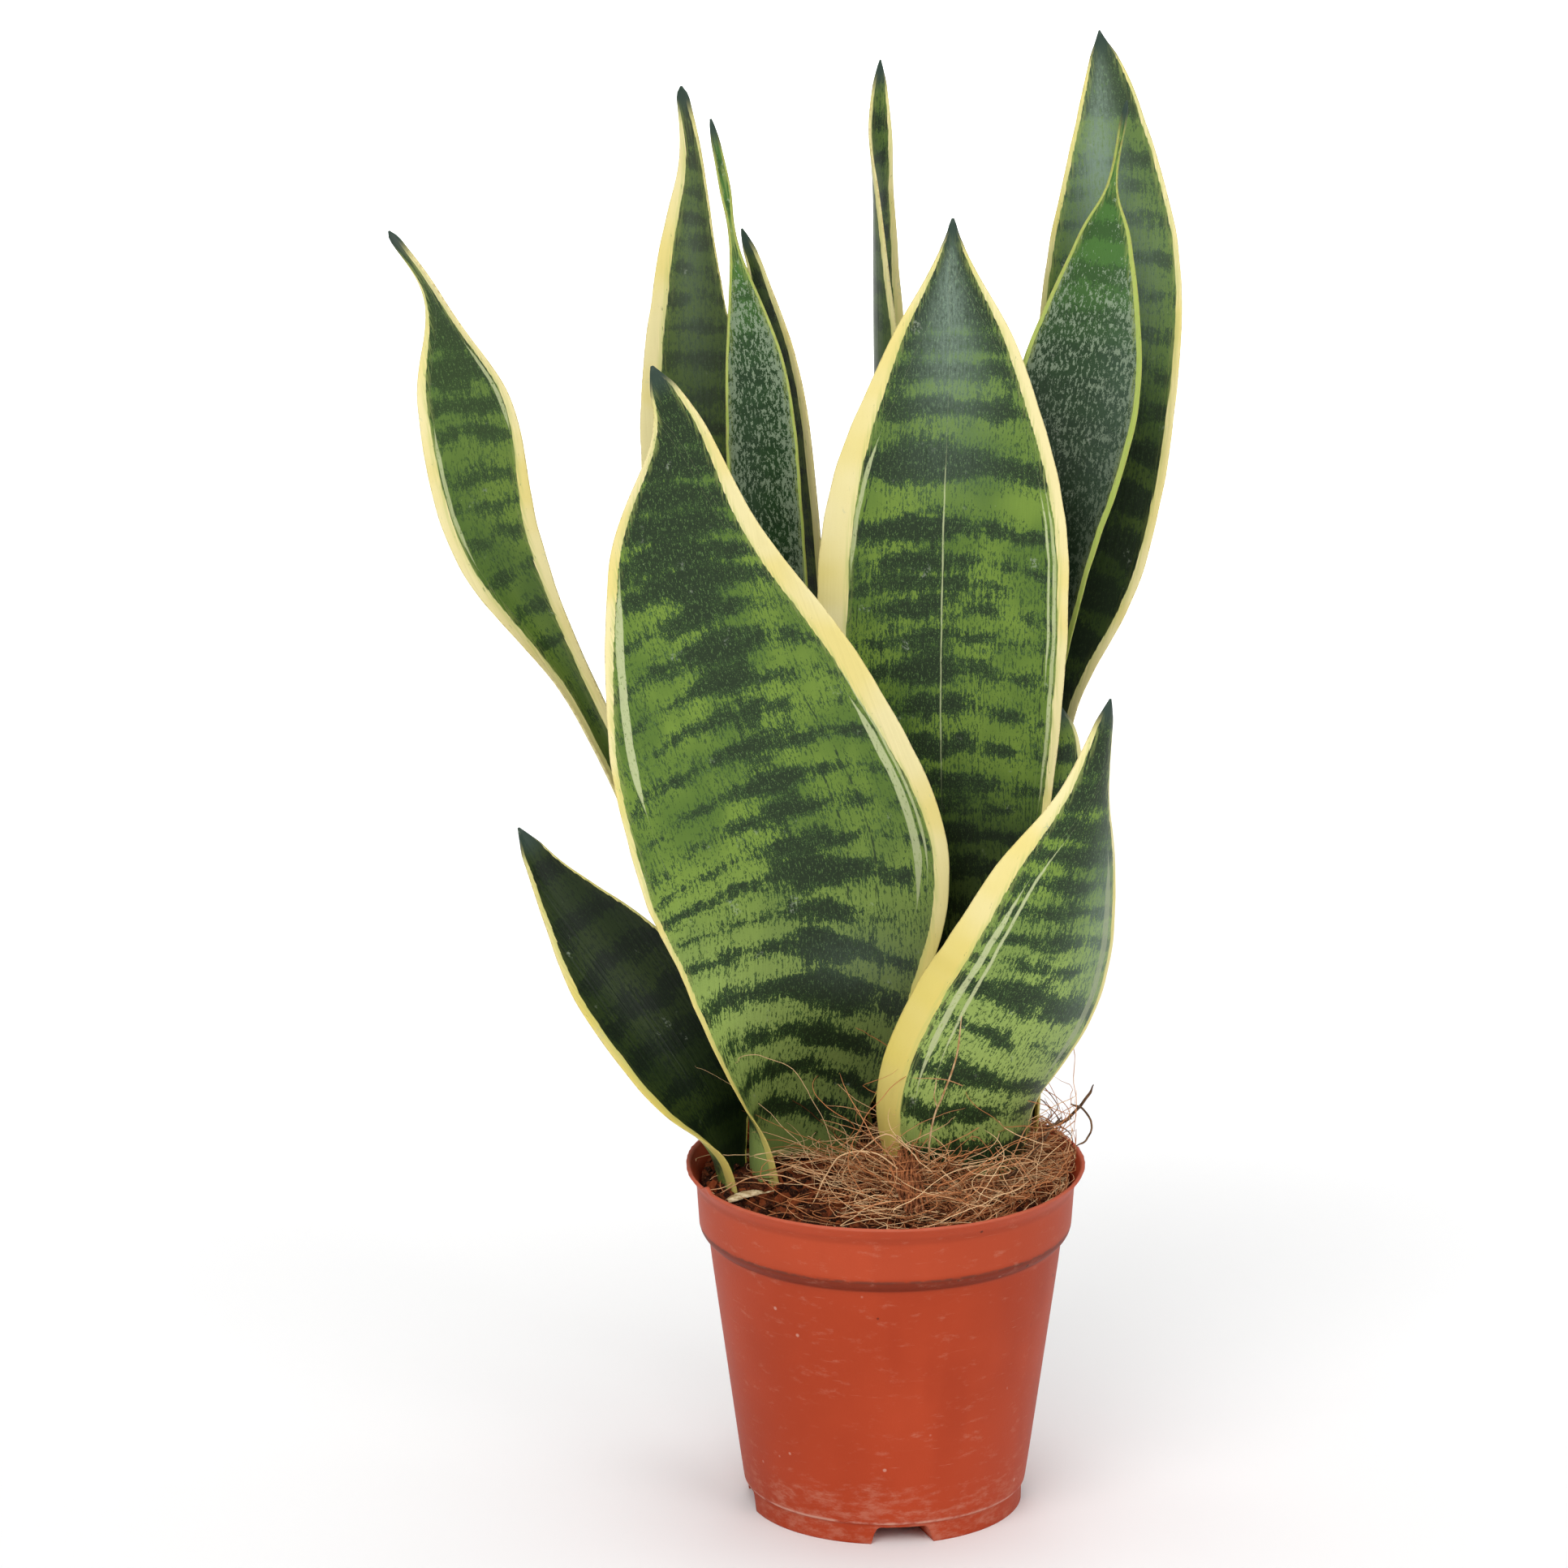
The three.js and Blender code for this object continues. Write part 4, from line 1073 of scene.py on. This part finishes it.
def tall_fibre_piece():
    """The one fibre that stands high in front of the tall middle leaf, with a side hair."""
    rng = np.random.default_rng(37)
    main = [(12.5, -22, 107), (13.5, -27, 128), (17, -31, 140), (20.5, -34, 152), (21.8, -34, 165)]
    hair = [(15.2, -29, 134), (14.2, -31, 139), (14.6, -33, 145)]
    paths = [long_path(main, rng, 0.4), long_path(hair, rng, 0.3)]
    points, faces, _ = tubes(paths, [0.3, 0.16], 6)
    material = dry_material("straw_fibre", "a97c4f", "dcbb8f", (0.8, 0.8, 0.3))
    return make_piece("straw_fibre", points, faces, material, ["fibre_tall"])


def husk_piece():
    """A clump of reddish husk lying toward the front: many strands side by side."""
    rng = np.random.default_rng(41)
    spine = np.array([(5.5, -10, 113), (6, -20, 111.4), (6.2, -30, 109.4), (6.8, -40, 107.4),
                      (7, -47, 105.2)])
    paths, radii = [], []
    for _ in range(HUSK_STRANDS):
        shift = rng.normal(0, [1.8, 1.2, 0.8]) + [0, -1, 3.0]
        first, last = sorted(rng.uniform(0, 4, 2))
        last = max(last, min(first + 1.2, 4))
        first = min(first, last - 1.0)
        t = np.linspace(first, last, 9)
        spread = np.linspace(-0.5, 0.5, 9)[:, None] * rng.normal(0, [2.0, 0.6, 1.0])
        paths.append(spline(spine, t) + shift + spread)
        radii.append(rng.uniform(0.16, 0.45))
    points, faces, _ = tubes(paths, radii, 5)
    material = dry_material("reddish_husk", "63341d", "b9744a", (0.9, 0.25, 0.9))
    return make_piece("husk_clump", points, faces, material, ["husk_stalk"])


def twig_piece():
    """A broken bit of twig with bumps and a ragged end."""
    rows, sides = 26, 12
    points = []
    start, end = np.array([9.6, -16.2, 110.2]), np.array([20.6, -15.4, 111.8])
    ahead = unit(end - start)
    side = unit(np.cross(ahead, [0, 0, 1]))
    above = np.cross(side, ahead)
    for i in range(rows):
        t = i / (rows - 1)
        for k in range(sides):
            a = 2 * math.pi * k / sides
            size = 1.1 * (1 + 0.16 * wander(t * 6, math.cos(a) * 1.5, math.sin(a) * 1.5, 8))
            size *= 0.55 if i in (0, rows - 1) else 1
            ragged = 0.8 * wander(math.cos(a) * 2, math.sin(a) * 2, t, 9) * (i in (0, rows - 1))
            spot = start + (end - start) * t + ahead * ragged
            points.append(spot + size * (side * math.cos(a) + above * math.sin(a)))
    faces = grid(rows, sides)
    faces.append(tuple(range(sides))[::-1])
    faces.append(tuple((rows - 1) * sides + k for k in range(sides)))
    material = dry_material("brown_twig", "57351f", "a17449", (0.25, 0.9, 0.9))
    return make_piece("twig_stub", points, faces, material, ["twig_end"])


def sheath_piece():
    """A papery scrap of old leaf sheath, curled along its length and torn at its edges."""
    long, wide = 40, 14
    spine = np.array([(-47.5, -26.2, 104), (-41, -22.5, 104.8), (-33.5, -18.8, 105.4)])
    t = np.linspace(0, 2, long)
    line = spline(spine, t)
    ahead = unit(np.gradient(line, axis=0))
    side = unit(np.cross(ahead, [0, 0, 1]))
    above = np.cross(side, ahead)
    top, under = [], []
    for i in range(long):
        share = i / (long - 1)
        half = 1.9 * math.sin(math.pi * min(share * 1.1 + 0.12, 1)) ** 0.5 + 0.25
        for k in range(wide):
            s = 2 * k / (wide - 1) - 1
            torn = 1 + 0.3 * wander(share * 9, 4.0 * (s > 0), 0, 12) * abs(s) ** 3
            angle = s * 1.15
            curl = side[i] * (half * torn * math.sin(angle))
            curl = curl + above[i] * (half * math.cos(angle) - 1)
            crinkle = above[i] * 0.22 * wander(share * 14, s * 3, 0, 13)
            top.append(line[i] + curl + crinkle)
            under.append(line[i] + curl + crinkle - above[i] * 0.16 - side[i] * 0.1 * s)
    count = long * wide
    faces = []
    for i in range(long - 1):
        for k in range(wide - 1):
            a = i * wide + k
            faces.append((a, a + wide, a + wide + 1, a + 1))
            faces.append((count + a, count + a + 1, count + a + wide + 1, count + a + wide))
    loop = list(range(wide)) + [i * wide + wide - 1 for i in range(1, long)]
    loop += [(long - 1) * wide + k for k in range(wide - 2, -1, -1)]
    loop += [i * wide for i in range(long - 2, 0, -1)]
    for a, b in zip(loop, loop[1:] + loop[:1]):
        faces.append((a, b, count + b, count + a))
    material = dry_material("papery_sheath", "9a7f58", "e0cda6", (0.3, 0.5, 0.9))
    return make_piece("torn_sheath", top + under, faces, material, ["dried_sheath"])


def rhizome_look():
    """The buried stems keep their plain solids, under a ringed tan skin."""
    p = Paint("rhizome_skin")
    spot = p.place()
    x, y, z = spot.axes()
    rings = p.grain(p.join(x * 0.5, y * 0.5, z * 0.05), 0.9, 2.0, 0.5)
    dirt = p.grain(spot, 0.35, 3.0, 0.6)
    colour = p.blend(rings.rise(0.35, 0.65), "b98d58", "d8b885")
    colour = p.blend(dirt.rise(0.5, 0.68) * 0.7, colour, "4b2f1e")
    skin = p.finish(colour, 0.8, relief=p.bump(rings + dirt * 0.5, 0.0008, 0.7))
    for name in ("rhizome_left", "rhizome_front", "rhizome_rear"):
        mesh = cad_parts[name].data
        mesh.materials.clear()
        mesh.materials.append(skin)


# ---- stage, light, camera

AIM = (-0.0305, 0.0, 0.226)
DISTANCE, ELEVATION = 3.0, math.radians(17.5)
LENS, SENSOR = 231.9, 36.0


def stage():
    """A pale floor under even studio light."""
    mesh = bpy.data.meshes.new("floor")
    far = 12.0
    mesh.from_pydata([(-far, -far, 0), (far, -far, 0), (far, far, 0), (-far, far, 0)], [],
                     [(0, 1, 2, 3)])
    floor = put("floor", mesh)
    p = Paint("pale_floor")
    mesh.materials.append(p.finish((0.93, 0.93, 0.93, 1), 0.9))
    world = bpy.data.worlds.new("studio")
    world.use_nodes = True
    world.node_tree.nodes["Background"].inputs[0].default_value = (1, 1, 1, 1)
    world.node_tree.nodes["Background"].inputs[1].default_value = 0.42
    bpy.context.scene.world = world
    bpy.context.scene.view_settings.view_transform = "Standard"


def lamp(name, spot, target, size, power):
    """A round soft light that faces its target: metres and watts."""
    light = bpy.data.lights.new(name, "AREA")
    light.shape = "DISK"
    light.size = size
    light.energy = power
    lit = put(name, light)
    lit.location = spot
    back = unit(np.array(spot) - np.array(target))
    side = unit(np.cross([0, 0, 1], back))
    turned = Matrix(np.stack([side, np.cross(back, side), back], 1).tolist())
    lit.rotation_euler = turned.to_euler()


def backdrop_lamp():
    """Lights the floor behind the plant and not the plant."""
    light = bpy.data.lights.new("backdrop", "SPOT")
    light.energy = 420
    light.spot_size = math.radians(80)
    light.spot_blend = 0.7
    light.shadow_soft_size = 0.5
    put("backdrop", light).location = (0, 2.0, 2.2)


def camera():
    """Looks down at the plant from the front."""
    data = bpy.data.cameras.new("view")
    data.lens = LENS
    data.sensor_width = SENSOR
    data.clip_end = 60
    eye = put("view", data)
    eye.location = (AIM[0], AIM[1] - DISTANCE * math.cos(ELEVATION),
                    AIM[2] + DISTANCE * math.sin(ELEVATION))
    eye.rotation_euler = (math.pi / 2 - ELEVATION, 0, 0)
    bpy.context.scene.camera = eye


camera()
stage()
lamp("key", (-0.6, -1.6, 1.7), (0, 0, 0.2), 1.8, 26)
lamp("fill", (1.2, -1.6, 1.2), (0, 0, 0.2), 1.2, 11)
lamp("top", (0.1, 0.2, 2.1), (0, 0, 0.1), 1.4, 14)
backdrop_lamp()

pot_piece()
soil_piece()
drain_piece()
chip_piece()
coir_piece()
husk_piece()
twig_piece()
sheath_piece()
root_piece()
tall_fibre_piece()
rhizome_look()
for order, leaf in enumerate(LEAVES):
    leaf_piece(leaf, order + 1)
